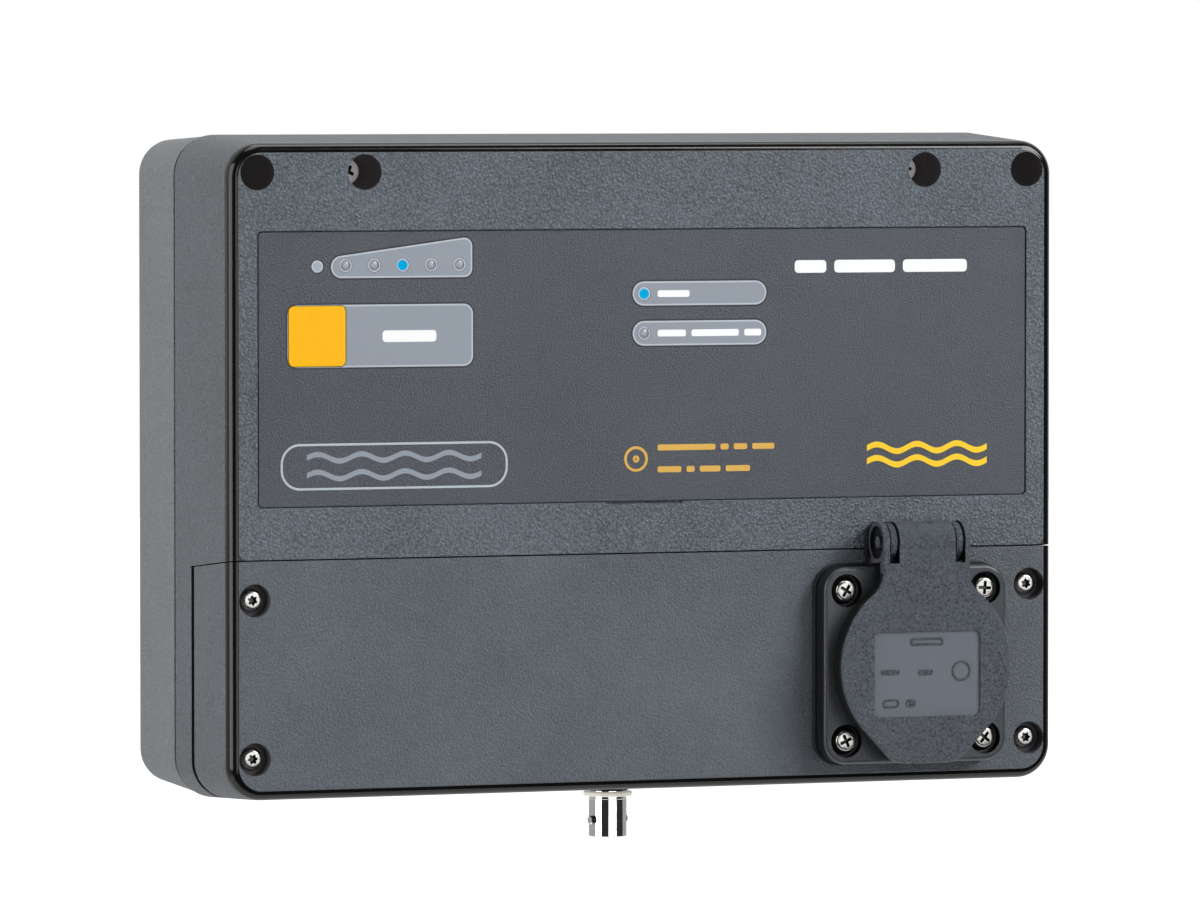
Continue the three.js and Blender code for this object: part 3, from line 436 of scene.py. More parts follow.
# Screen colour, roughness, grain, bump, variation, mottle and any further settings of surface().
FINISHES = {
    "shell": ((95, 104, 112), 0.42, 0.6, 1.7, 0.6, 0.1, {"leather": 0.5}),
    "cover": ((85, 92, 99), 0.44, 0.55, 1.1, 0.34, 0.13, {"leather": 0.35}),
    "side": ((86, 91, 97), 0.47, 0.6, 1.3, 0.6, 0.12),
    # painted shade: the polished rounding is the face's own plastic, coloured near black for the dark
    # reflections it shows
    "bezel_painted_shade": ((13, 13, 14), 0.11, 0.5, 0.02, 0.04, 0.1, {"specular": 0.36}),
    # painted shade: the walls inside the fixing wells, near black, with a faint glow that keeps the
    # painted shade even
    "well_painted_shade": ((26, 24, 26), 0.6, 0.5, 0.1, 0.06, 0.05,
             {"specular": 0.2, "glow": (34, 31, 33), "glow_strength": 0.8}),
    # painted shade: the walls inside the cover screws' counterbores, a little darker than the cover
    "bore_painted_shade": ((80, 79, 83), 0.5, 0.5, 0.1, 0.06, 0.05),
    # painted shade: the faces inside the grooves, the split and the side seam, near black
    "gap": ((18, 18, 20), 0.6, 0.5, 0.1, 0.06, 0.05),
    "tray": ((103, 107, 111), 0.48, 0.6, 0.8, 0.42, 0.1),
    "panel": ((66, 71, 79), 0.42, 0.45, 0.42, 0.4, 0.08),
    "print": ((138, 146, 157), 0.45, 0.4, 0.05, 0.04, 0.02),
    # painted highlight: the light line along the embossed edge of the printed fields; the same colour
    # also draws the lens rims and the range frame
    "outline": ((180, 188, 197), 0.45, 0.4, 0.05, 0.03, 0.02),
    # painted shadow: the thin dark line outside the embossed edge of the printed fields
    "shadow": ((30, 32, 36), 0.45, 0.4, 0.05, 0.05, 0.03),
    "white": ((244, 245, 246), 0.5, 0.4, 0.05, 0.02, 0.01),
    "amber": ((214, 168, 72), 0.5, 0.4, 0.05, 0.03, 0.02),
    "yellow": ((250, 204, 8), 0.5, 0.4, 0.05, 0.02, 0.02),
    "key": ((250, 183, 4), 0.55, 0.5, 0.06, 0.03, 0.02, {"specular": 0.2}),
    "lens": ((148, 155, 165), 0.2, 0.8, 0.02, 0.02, 0.03, {"specular": 0.7}),
    "lit": ((0, 139, 184), 0.5, 0.8, 0.02, 0.02, 0.03, {"specular": 0.03, "glow": (0, 134, 177)}),
    "black": ((20, 20, 22), 0.36, 0.6, 0.08, 0.08, 0.12, {"specular": 0.3}),
    "flange": ((50, 54, 60), 0.33, 0.6, 0.16, 0.14, 0.14),
    "lid": ((72, 79, 88), 0.31, 0.55, 1.8, 0.8, 0.15, {"leather": 0.2}),
    "label": ((90, 97, 105), 0.48, 0.4, 0.06, 0.05, 0.03),
    "rubber": ((20, 20, 22), 0.5, 0.5, 0.12, 0.08, 0.08, {"specular": 0.3}),
    "cream": ((226, 220, 204), 0.45, 0.6, 0.06, 0.02, 0.03),
    # painted light: a glow that lifts the washer out of the shade under the case
    "washer": ((232, 227, 216), 0.4, 0.6, 0.06, 0.02, 0.03,
               {"glow": (232, 227, 216), "glow_strength": 0.35}),
    "nickel": ((232, 231, 228), 0.07, 1.2, 0.004, 0.02, 0.04, METAL),
    "zinc": ((186, 184, 181), 0.24, 0.7, 0.04, 0.06, 0.1, METAL),
    # painted light: the screws at the bottom of the fixing wells glow, to show bright inside the
    # shaded wells
    "painted_light_screw": ((190, 188, 185), 0.4, 0.7, 0.04, 0.06, 0.1, {"glow": (150, 148, 146)}),
    # painted shade: dark nickel inside the screws' drive recesses and on the side walls of the jack's
    # lugs
    "recess": ((70, 69, 68), 0.3, 0.5, 0.08, 0.1, 0.08, METAL),
    "brass": ((212, 178, 98), 0.22, 0.9, 0.03, 0.03, 0.05, METAL),
    "steel": ((150, 153, 156), 0.36, 0.6, 0.05, 0.06, 0.08, {"metallic": 1.0, "streak": (1, 6, 1)}),
    "board": ((28, 92, 52), 0.3, 0.9, 0.05, 0.08, 0.1, {"coat": 0.4}),
    "coil": ((186, 128, 52), 0.42, 0.8, 0.1, 0.08, 0.08, {"streak": (1, 10, 1)}),
    "green": ((70, 150, 62), 0.42, 0.5, 0.06, 0.03, 0.04),
    "sleeve": ((34, 66, 140), 0.3, 0.7, 0.04, 0.03, 0.05, {"coat": 0.3}),
    "ribbon": ((150, 154, 158), 0.5, 0.9, 0.1, 0.06, 0.04, {"streak": (3, 0.3, 0.3)}),
    "brown": ((98, 62, 40), *WIRE),
    "blue": ((38, 84, 164), *WIRE),
    "earth": ((92, 150, 48), *WIRE),
}


def make_finish(name, *settings):
    further = settings[-1] if isinstance(settings[-1], dict) else {}
    return surface(name, *settings[:6], **further)


FINISH = {name: make_finish(name, *settings) for name, settings in FINISHES.items()}


def paint(obj, first, *others):
    """Gives obj its materials. others are (finish, test on a face's centre in mm and its normal)."""
    obj.data.materials.clear()
    for finish in (first, *[name for name, _ in others]):
        obj.data.materials.append(FINISH[finish])
    for polygon in obj.data.polygons:
        polygon.material_index = 0
        for index, (_, test) in enumerate(others, 1):
            if test(polygon.center / MM, polygon.normal):
                polygon.material_index = index
    return obj


def fit(obj, name, slot, *nodes, body="housing"):
    """Names a finished piece, sets what it rides on and hides the CAD nodes it stands for; slot is not
    used.
    """
    obj.name = obj.data.name = name
    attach(obj, body)
    if nodes:
        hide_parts(*nodes)


# ---------- housing ----------

EDGE_END = FRONT + BEZEL["depth"]
SPLIT_CHAMFER = 0.32              # along the upper shell's lower edge
SPLIT_FALL = 0.10                 # the split drops this much for each millimetre behind the face
FINE_GROOVE = {"depth": 0.35, "width": 0.6}
# The lip between the textured face and the polished edge: (growth, depth behind the face).
FACE_LIP = [(-0.28, 0.0), (-0.14, 0.03), (-0.03, 0.11), (0.0, 0.24), (0.1, 0.32)]
RIM = 0.14                        # rounding round the holes in the face


def shell_growth(y):
    """How far the shell's outer surface stands outside the front face's outline."""
    share = (y - EDGE_END) / (PARTING - EDGE_END)
    return BEZEL["width"] + SHELL_DRAFT * share


def tray_growth(y):
    return BEZEL["width"] + SHELL_DRAFT - TRAY_STEP - TRAY_DRAFT * (1 - y / PARTING)


def case_outline(growth):
    return rounded_about(0, 0, FACE_HALF_X + growth, FACE_HALF_Z + growth, FACE_RADIUS + growth, 16)


def shell_blank():
    """Face, lip, polished rounding, a fine groove, and then the drafted side."""
    steps = 10
    first, start = FACE_LIP[-1]
    sections = [(FRONT + y, case_outline(growth)) for growth, y in FACE_LIP]
    for i in range(1, steps + 1):
        angle = math.pi / 2 * i / steps
        sections.append((FRONT + start + (BEZEL["depth"] - start) * (1 - math.cos(angle)),
                         case_outline(first + (BEZEL["width"] - first) * math.sin(angle))))
    inner = case_outline(BEZEL["width"] - FINE_GROOVE["depth"])
    groove_end = EDGE_END + FINE_GROOVE["width"]
    sections += [(EDGE_END + 0.04, inner), (groove_end - 0.04, inner),
                 (groove_end, case_outline(shell_growth(groove_end) - 0.1)),
                 (groove_end + 0.12, case_outline(shell_growth(groove_end))),
                 (SHELL_RIM - 0.25, case_outline(shell_growth(SHELL_RIM))),
                 (SHELL_RIM, case_outline(shell_growth(SHELL_RIM) - 0.22))]
    return loft("shell", sections)


def shell_hollow():
    return loft("hollow", [(y, case_outline(shell_growth(y) - WALL))
                           for y in (FRONT + WALL, PARTING + 1)])


def split_fall(y):
    return SPLIT_FALL * (y - FRONT)


def below_split(drop, y0, y1, bottom=-130, width=130):
    """A tool for everything under the sloping split, `drop` below the upper shell's edge."""
    def outline(y):
        level = SHELL_EDGE - drop - split_fall(y)
        level += min(SPLIT_CHAMFER, max(0, SPLIT_CHAMFER - (y - FRONT)))
        return [(-width, bottom), (width, bottom), (width, level), (-width, level)]

    return loft("below", [(y, outline(y)) for y in (y0, FRONT + SPLIT_CHAMFER + 0.01, y1)
                          if y0 <= y <= y1])


def wells(radius, x, y0, y1):
    return [drill(radius, side * x, WELL_Z, y0, y1) for side in (-1, 1)]


def rimmed_hole(radius, x, z, y1):
    """A tool for a hole in the face whose mouth is rounded over."""
    mouth = [(radius + RIM * (1 - math.sin(a)), FRONT + RIM * (1 - math.cos(a)))
             for a in (math.pi / 2 * i / 4 for i in range(5))]
    return lathe("hole", [(0, FRONT - 1), (mouth[0][0], FRONT - 1), *mouth, (radius, y1), (0, y1)],
                 "y", (x, 0, z))


COVER_SCREWS = [(side * COVER_SCREW_X, z) for side in (-1, 1) for z in COVER_SCREW_Z]
SOCKET_SCREWS = [(SOCKET_X + sx * SCREW_OFFSET, SOCKET_Z + sz * SCREW_OFFSET)
                 for sx in (-1, 1) for sz in (-1, 1)]


def in_bezel(centre, normal):
    """True on the polished rounding, and on the low corners beside the split; these faces get a
    near-black painted shade that stands for their dark reflections.
    """
    low_corner = (abs(centre.y - FRONT - FACE_LIP[-1][1]) < 0.02 and normal.y < -0.9
                  and abs(centre.x) > FACE_HALF_X - 3)
    return low_corner or (FRONT + 0.27 < centre.y < EDGE_END
                          and (abs(centre.x) > FACE_HALF_X - 6.5 or abs(centre.z) > FACE_HALF_Z - 6.5)
                          and abs(normal.y) < 0.999)


def on_side(centre, normal):
    return centre.y >= EDGE_END and abs(normal.y) < 0.3


def in_gap(centre, normal):
    """True in the grooves and in the split, where hardly any light gets in; these faces get near-black
    painted shade.
    """
    fine = EDGE_END < centre.y < EDGE_END + FINE_GROOVE["width"] - 0.02
    chamfer = (normal.z < -0.5 and centre.y < FRONT + SPLIT_CHAMFER
               and abs(centre.z - SHELL_EDGE - SPLIT_CHAMFER / 2) < 0.1)
    split = chamfer or abs(normal.z) > 0.95 and centre.y < COVER_REAR + GAP and any(
        abs(centre.z + split_fall(centre.y) - edge) < 0.02 for edge in (SHELL_EDGE, COVER_TOP))
    seam = abs(centre.y - COVER_REAR - GAP / 2) < SIDE_GROOVE / 2 + 0.2
    return fine or split or seam


def inside_holes(places, centre):
    """True past the rounded mouths of holes in the face."""
    return centre.y > FRONT + RIM + 0.05 and any(
        math.hypot(centre.x - x, centre.z - z) < WELL_RADIUS + 0.1 for x, z in places)


# The walls inside the fixing wells, which get painted shade.
def in_well(centre, normal):
    return inside_holes([(s * x, WELL_Z) for s in (-1, 1) for x in (WALL_WELL_X, SHELL_WELL_X)],
                        centre)


# The walls inside the counterbores, which get painted shade.
def in_bore(centre, normal):
    return inside_holes(COVER_SCREWS, centre)


def side_lip(y0, y1):
    """A tool that cuts a rebate round the outside of the case, below the split."""
    growth = shell_growth(COVER_REAR)
    ring = loft("ring", [(y, case_outline(growth + 2)) for y in (y0, y1)])
    top = SHELL_EDGE - split_fall(COVER_REAR)
    return carve(ring, prism("core", case_outline(growth - 1.4), y0 - 1, y1 + 1),
                 block(-130, 130, y0 - 1, y1 + 1, top, 130))


def low_corner(side):
    """A tool that rounds off the upper face's corner where it meets the split."""
    x, radius = side * FACE_HALF_X, 2.2
    bend = [(x + side * (u - radius), SHELL_EDGE + radius + v)
            for u, v in arc(0, 0, radius, 270, 360, 8)]
    outline = [(x + side * 0.6, SHELL_EDGE - 0.5), (x - side * radius, SHELL_EDGE - 0.5), *bend,
               (x + side * 0.6, SHELL_EDGE + radius)]
    return prism("corner", outline, FRONT - 1, FRONT + FACE_LIP[-1][1])


def make_front_shell():
    shell = carve(shell_blank(), shell_hollow())
    shell = carve(shell, below_split(0, FRONT - 5, COVER_REAR + GAP))
    partition = carve(below_split(-PARTITION, FRONT + 1, COVER_REAR + GAP + PARTITION),
                      below_split(0, FRONT - 1, COVER_REAR + GAP, width=140, bottom=-140),
                      block(-140, 140, COVER_REAR - 1, -30, -140, SHELL_EDGE - 8))
    inside = fuse(partition, *wells(WELL_RADIUS + 2.1, WALL_WELL_X, FRONT + 1, SHELL_RIM),
                  *wells(WELL_RADIUS + 2, SHELL_WELL_X, FRONT + 1, SHELL_SEAT + WALL),
                  *drills(BOSS_RADIUS, COVER_SCREWS, COVER_REAR + GAP, SHELL_RIM))
    shell = fuse(shell, keep(inside, shell_blank()))
    left, right = PANEL_LOW.x - GAP, PANEL_HIGH.x + GAP
    low, high = PANEL_LOW.z - GAP, PANEL_HIGH.z + GAP
    pocket = loft("pocket", [
        (FRONT + y, rounded(left - grow, right + grow, low - grow, high + grow, 1.2 + grow))
        for y, grow in ((-1, 0.25), (0, 0.25), (0.05, 0.1), (0.2, 0), (1.1, 0))])
    shell = carve(shell, pocket, side_lip(COVER_REAR - 1, COVER_REAR + GAP + SIDE_GROOVE / 2),
                  low_corner(-1), low_corner(1))
    pry = prism("pry", [(-11.4, PANEL_LOW.z + 1), (-11.4, PANEL_LOW.z - 0.8),
                        (9.0, PANEL_LOW.z - 0.8), (9.6, PANEL_LOW.z - 0.3), (9.6, PANEL_LOW.z + 1)],
                FRONT - 1, FRONT + 1.1)
    key_hole = prism("key", rounded_about(KEY_X, KEY_Z, KEY_HOLE, KEY_HOLE, 1.5),
                     FRONT - 1, FRONT + WALL + 1)
    shell = carve(shell, pry, key_hole,
                  *drills(LENS_RADIUS + GAP, LENS_AT.values(), FRONT - 1, FRONT + WALL + 1, 32),
                  *[rimmed_hole(WELL_RADIUS, side * x, WELL_Z, depth) for side in (-1, 1)
                    for x, depth in ((WALL_WELL_X, 0), (SHELL_WELL_X, SHELL_SEAT))],
                  *drills(SCREW_HOLE, COVER_SCREWS, COVER_REAR - 1, SHELL_RIM - 2, 24),
                  rod(5.0, -90, -70, "z", (JACK_X, JACK_Y, 0)))
    # Painted shade: the polished rounding, the grooves and split, and the walls of the wells are
    # coloured dark.
    paint(shell, "shell", ("side", on_side), ("bezel_painted_shade", in_bezel), ("gap", in_gap),
          ("well_painted_shade", in_well))
    fit(smooth(shell), "front_shell_skin", "casing_plastic", "front_shell")


def make_terminal_cover():
    cover = carve(shell_blank(), shell_hollow())
    space = loft("space", [(y, rounded(-130, 130, -130, COVER_TOP - split_fall(y) - drop, 1))
                           for y, drop in ((FRONT - 5, 0.25), (FRONT, 0.25), (FRONT + 0.07, 0.09),
                                           (FRONT + 0.25, 0), (COVER_REAR, 0))])
    partition = carve(below_split(GAP, FRONT + 1, COVER_REAR),
                      below_split(GAP + PARTITION, FRONT - 1, COVER_REAR + 1, -140, 140))
    inside = fuse(partition, *drills(BOSS_RADIUS + 0.1, COVER_SCREWS, FRONT + 1, COVER_REAR),
                  *drills(3.6, SOCKET_SCREWS, FRONT + 1, FRONT + 11, 32))
    cover = keep(fuse(cover, keep(inside, shell_blank())), space)
    cover = carve(cover, side_lip(COVER_REAR - SIDE_GROOVE / 2, COVER_REAR + 1),
                  *[rimmed_hole(COUNTERBORE_RADIUS, x, z, FRONT + COUNTERBORE_DEPTH)
                    for x, z in COVER_SCREWS],
                  drill(SOCKET_BODY + 0.5, SOCKET_X, SOCKET_Z, FRONT - 1, FRONT + WALL + 1, 96),
                  *drills(SCREW_HOLE, SOCKET_SCREWS, FRONT - 1, FRONT + 10, 24))
    # Painted shade: the polished rounding, the grooves and split, and the counterbore walls are
    # coloured darker than the cover.
    paint(cover, "cover", ("side", on_side), ("bezel_painted_shade", in_bezel), ("gap", in_gap),
          ("bore_painted_shade", in_bore))
    fit(smooth(cover), "terminal_cover_skin", "casing_plastic",
               "terminal_cover")


PARTING_GROOVE = {"depth": 0.8, "width": 1.7}


def make_rear_tray():
    start = PARTING + PARTING_GROOVE["width"]
    inset = tray_growth(PARTING) - PARTING_GROOVE["depth"]
    sections = [(PARTING, case_outline(inset)), (start - 0.05, case_outline(inset)),
                (start, case_outline(tray_growth(start) - 0.12)),
                (start + 0.12, case_outline(tray_growth(start)))]
    foot, steps = 0.8, 4
    for i in range(steps + 1):
        angle = math.pi / 2 * i / steps
        y = -foot * (1 - math.sin(angle))
        sections.append((y, case_outline(tray_growth(-foot) - foot * (1 - math.cos(angle)))))
    tray = carve(loft("tray", sections), loft("hollow", [(y, case_outline(tray_growth(y) - WALL))
                                                         for y in (PARTING - 1, -WALL)]))
    inside = fuse(drill(BOSS_RADIUS, *LOW_FIXING, WALL_SEAT - 1, -0.1),
                  *wells(WELL_RADIUS + 2.1, WALL_WELL_X, PARTING, -0.1))
    posts = [*wells(3.9, SHELL_WELL_X, SHELL_SEAT + WALL + GAP, -WALL / 2),
             *drills(3.2, BOARD_POSTS, highest("main_board").y + GAP, -WALL / 2, 32)]
    tray = fuse(tray, keep(inside, loft("tray", sections)), *posts)
    wall_screws = [(-WALL_WELL_X, WELL_Z), (WALL_WELL_X, WELL_Z), LOW_FIXING]
    tray = carve(tray, *wells(WELL_RADIUS, WALL_WELL_X, PARTING - 1, WALL_SEAT),
                 *drills(2.6, wall_screws, -20, 1, 32),
                 *drills(SCREW_HOLE, [(-SHELL_WELL_X, WELL_Z), (SHELL_WELL_X, WELL_Z)], -60, -38, 24),
                 rod(6.4, -90, -70, "z", (GROMMET_X, GROMMET_Y, 0)),
                 *drills(4.0, EJECTOR_MARKS, -0.25, 1, 40))

    def in_groove(centre, normal):
        return PARTING + 0.01 < centre.y < start and abs(normal.y) < 0.99

    # Painted shade: the parting groove and the walls of the wells are coloured dark.
    paint(tray, "tray", ("gap", in_groove), ("well_painted_shade", in_well))
    fit(smooth(tray), "rear_tray_skin", "tray_plastic", "rear_tray")


make_front_shell()
make_terminal_cover()
make_rear_tray()


# ---------- front panel ----------

def lens_holes(names=LENSES):
    return drills(LENS_RADIUS + GAP, [LENS_AT[name] for name in names], SHEET - 2, SHEET + 2, 32)


def key_opening(half):
    return prism("key", rounded_about(KEY_X, KEY_Z, half, half, 1.5), SHEET - 2, SHEET + 2)


def make_overlay():
    sheet = prism("sheet", rounded(PANEL_LOW.x, PANEL_HIGH.x, PANEL_LOW.z, PANEL_HIGH.z, 1.0),
                  SHEET, PANEL_HIGH.y)
    carve(sheet, key_opening(KEY_HOLE), *lens_holes())
    paint(sheet, "panel")
    fit(soften(sheet, 0.08, 2), "overlay_sheet", "panel_film", "overlay")


def print_layer(name, outline, finish, height, holes=()):
    """A printed area on the panel, as a film that stands `height` off the sheet."""
    layer = prism(name, outline, SHEET - height, SHEET - 0.004)
    if holes:
        carve(layer, *holes)
    paint(layer, finish)
    fit(layer, name, "panel_film")


def level_bar(inset):
    """The level strip's outline: a bar whose top edge rises to the right."""
    x0, x1, z0 = -84.1 + inset, -46.9 - inset, 47.8 + inset
    left, right, corner = 2.75 - inset, 57.6 - inset, 2.1 - inset
    slope = math.degrees(math.atan2(right - z0 - 2 * left, x1 - x0 - left - corner))
    return (arc(x1 - corner, z0 + corner, corner, -90, 0, 8)
            + arc(x1 - corner, right - corner, corner, 0, 90 + slope, 10)
            + arc(x0 + left, z0 + left, left, 90 + slope, 180, 10)
            + arc(x0 + left, z0 + left, left, 180, 270, 10))


def mode_panel(inset):
    return rounded(-95.5 + inset, -46.7 - inset, 25.7 + inset, 41.2 - inset, 2.5 - inset)


def pill(z0, z1):
    return lambda inset: rounded(-4.1 + inset, 32.0 - inset, z0 + inset, z1 - inset,
                                 (z1 - z0) / 2 - inset, steps=12)


def outlined(name, shape, holes):
    """A grey field with a painted highlight along its embossed edge and a thin painted shadow outside
    it.
    """
    for part, inset, finish, height in (("painted_shadow", -0.42, "shadow", 0.02),
                                        ("painted_highlight", 0.0, "outline", 0.045),
                                        ("field", 0.42, "print", 0.07)):
        print_layer(f"{name}_{part}", shape(inset), finish, height, holes())


def make_prints():
    outlined("level_bar", level_bar, lambda: lens_holes(LEVEL_LENSES))
    outlined("mode_panel", mode_panel, lambda: [key_opening(7.62)])
    outlined("auto_pill", pill(40.25, 46.3), lambda: lens_holes(["auto_lens"]))
    outlined("system_pill", pill(30.2, 36.4), lambda: lens_holes(["system_lens"]))


def ring(name, x, z, inner, outer, finish, height):
    layer = lathe(name, [(inner, SHEET - height), (outer - 0.1, SHEET - height),
                         (outer, SHEET - 0.004), (inner, SHEET - 0.004),
                         (inner, SHEET - height)], "y", (x, 0, z), 40)
    paint(layer, finish)
    fit(layer, name, "panel_film")


def make_lenses():
    """Light pipes: a domed end in the panel, a collar behind the shell, and a rod to the board."""
    for name in LENSES:
        x, z = LENS_AT[name]
        foot = highest(name).y
        tip, shoulder = SHEET - 0.1, FRONT + WALL + GAP
        dome = 0.0 if name in LIT or name == "fault_lens" else 0.3
        end = [(r, tip + dome * (r / 1.3) ** 2) for r in (0, 0.3, 0.6, 0.85, 1.1, 1.3)]
        lens = lathe(name, [*end, (1.4, tip + dome + 0.03), (LENS_RADIUS, tip + dome + 0.12),
                            (LENS_RADIUS, shoulder), (2.4, shoulder), (2.4, shoulder + 0.8),
                            (LENS_RADIUS, shoulder + 0.8), (LENS_RADIUS, foot), (0, foot)],
                     "y", (x, 0, z), 32)
        paint(lens, "lit" if name in LIT else "lens")
        slot = "lens_lit" if name in LIT else "lens_clear"
        fit(smooth(lens), name + "_pipe", slot, name)
        edge = 1.17 if name == "fault_lens" else LENS_RADIUS - 0.15
        ring(name + "_rim", x, z, edge, edge + 0.38, "outline", 0.12)


def make_mode_button():
    flange = FRONT + WALL + GAP
    cap = prism("cap", rounded_about(KEY_X, KEY_Z, KEY_HALF, KEY_HALF, 1.35),
                lowest("mode_button").y, flange + 0.2)
    cap = fuse(cap, prism("flange", rounded_about(KEY_X, KEY_Z, 8.6, 8.6, 1), flange, flange + 1.3))
    cap = fuse(cap, drill(2, KEY_X, KEY_Z, flange + 1, highest("mode_button").y, 32))
    paint(cap, "key")
    fit(soften(cap, 0.15), "mode_key_cap", "key_plastic", "mode_button", body="mode_key")


make_overlay()
make_prints()
make_lenses()
make_mode_button()


# ---------- generic marks on the panel ----------

WORD_HEIGHT = 0.09


def bars(name, x, z, widths, height, gap, finish):
    """A row of plain bars where the real panel has words."""
    for i, width in enumerate(widths):
        print_layer("%s_%d" % (name, i + 1),
                    rounded(x, x + width, z - height / 2, z + height / 2, height * 0.3, steps=4),
                    finish, WORD_HEIGHT)
        x += width + gap


def wave(name, x, z, length, swing, thick, waves, finish):
    """A plain wavy line of even thickness."""
    steps = 16 * waves
    along = [length * i / steps for i in range(steps + 1)]
    crest = [swing * math.sin(2 * math.pi * waves * s / length) for s in along]
    upper = [(x + s, z + c + thick / 2) for s, c in zip(along, crest)]
    lower = [(x + s, z + c - thick / 2) for s, c in zip(along, crest)]
    print_layer(name, lower + upper[::-1], finish, WORD_HEIGHT)


def make_marks():
    bars("title_bar", 39.7, 49.7, (8.6, 16.6, 17.6), 3.2, 2.2, "white")
    bars("mode_word", -70.6, 33.3, (14.2,), 2.9, 0, "white")
    bars("auto_word", 2.6, 43.2, (8.6,), 1.7, 0, "white")
    bars("system_word", 2.6, 33.3, (7.6, 12.8, 4.6), 1.7, 1.5, "white")
    bars("upper_note", 2.6, 4.6, (15.6, 2.2, 3.6, 6.0), 1.5, 1.4, "amber")
    bars("lower_note", 2.6, -0.9, (6.4, 2.2, 5.6, 6.6), 1.5, 1.4, "amber")
    ring("note_ring", -3.2, 1.8, 2.5, 3.2, "amber", WORD_HEIGHT)
    ring("note_dot", -3.2, 1.8, 0.25, 0.9, "amber", WORD_HEIGHT)
    for i, z in enumerate((3.6, 0.2)):
        wave("maker_wave_%d" % (i + 1), 59.5, z, 33.0, 0.9, 1.5, 3, "yellow")
    frame_line = rounded(-97.3, -37.5, -4.6, 6.9, 5.0, steps=12)
    print_layer("range_frame", frame_line, "outline", 0.04)
    print_layer("range_field", rounded(-96.75, -38.05, -4.05, 6.35, 4.45, steps=12), "panel", 0.06)
    for i, z in enumerate((3.4, -1.0)):
        wave("range_wave_%d" % (i + 1), -90.5, z, 46.0, 0.85, 1.3, 4, "print")


make_marks()


# ---------- screws ----------

def lobes(inner, swing):
    return lambda angle: inner + swing * math.cos(6 * angle)


def cross(half_width, length):
    """Radius of a four-armed recess at each angle."""
    def radius(angle):
        reach = max(half_width / max(abs(side), 1e-4) for side in (math.sin(angle), math.cos(angle)))
        return min(reach, length)
    return radius


def make_screw(name, recess, depth, top_radius, turn):
    """A pan-head screw along Y that fills the CAD screw's space, with its drive recess."""
    low, high = lowest(name), highest(name)
    x, _, z = middle(name)
    radius = (high.z - low.z) / 2
    top, end = low.y, high.y
    in_well = "shell" in name
    seat = top + (2.2 if in_well else 2.0)
    small = lambda factor: (lambda angle: recess(angle) * factor)
    profile = [(0, top + depth), (small(0.55), top + depth), (small(0.92), top + 0.12),
               (recess, top), (top_radius, top)]
    for i in range(1, 7):
        a = math.pi / 2 * i / 6
        profile.append((top_radius + (radius - top_radius) * math.sin(a),
                        top + (seat - top - 0.5) * (1 - math.cos(a))))
    profile += [(radius, seat - 0.1), (radius - 0.1, seat), (1.6, seat), (1.6, end - 0.8),
                (0.8, end), (0, end)]
    screw = lathe(name, profile, "y", (0, 0, 0), 96)
    screw.data.transform(Matrix.Translation(Vector((x, 0, z)) * MM) @ Matrix.Rotation(turn, 4, "Y"))

    # Faces inside the drive recess, which get painted shade.
    def in_recess(centre, normal):
        return (top + 0.05 < centre.y < top + depth + 0.1
                and math.hypot(centre.x - x, centre.z - z) < 1.5)

    # Screws down in the wells glow as painted light; the drive recess gets painted shade.
    paint(screw, "painted_light_screw" if in_well else "zinc", ("recess", in_recess))
    fit(smooth(screw), name + "_head", "nickel_plate", name)


for i, side in enumerate(("left", "right")):
    for j, level in enumerate(("upper", "lower")):
        turn = 0.35 + 1.1 * i + 0.6 * j
        make_screw(f"cover_screw_{side}_{level}", lobes(1.12, 0.2), 1.3, 1.7, turn)
        make_screw(f"socket_screw_{side}_{level}", cross(0.42, 1.75), 1.3, 1.95, turn + 0.2)
    make_screw(f"shell_screw_{side}", cross(0.45, 1.8), 1.4, 2.1, 0.5 + i)


# ---------- plug socket ----------

def about_pin(radius, x0, x1, segments=64):
    return rod(radius, SOCKET_X + x0, SOCKET_X + x1, "x", (0, PIVOT_Y, PIVOT_Z), segments)


def make_socket_gasket():
    low, high = lowest("socket_gasket"), highest("socket_gasket")
    lip = 0.4
    gasket = prism("gasket", rounded(low.x - lip, high.x + lip, low.z - lip, high.z + lip, 6.6,
                                     steps=12), low.y, high.y)
    carve(gasket, drill(SOCKET_BODY + 1, SOCKET_X, SOCKET_Z, -80, -60, 96),
          *drills(2.2, SOCKET_SCREWS, -80, -60, 24))
    paint(gasket, "rubber")
    fit(soften(gasket, 0.3), "socket_gasket_sheet", "black_rubber",
               "socket_gasket")


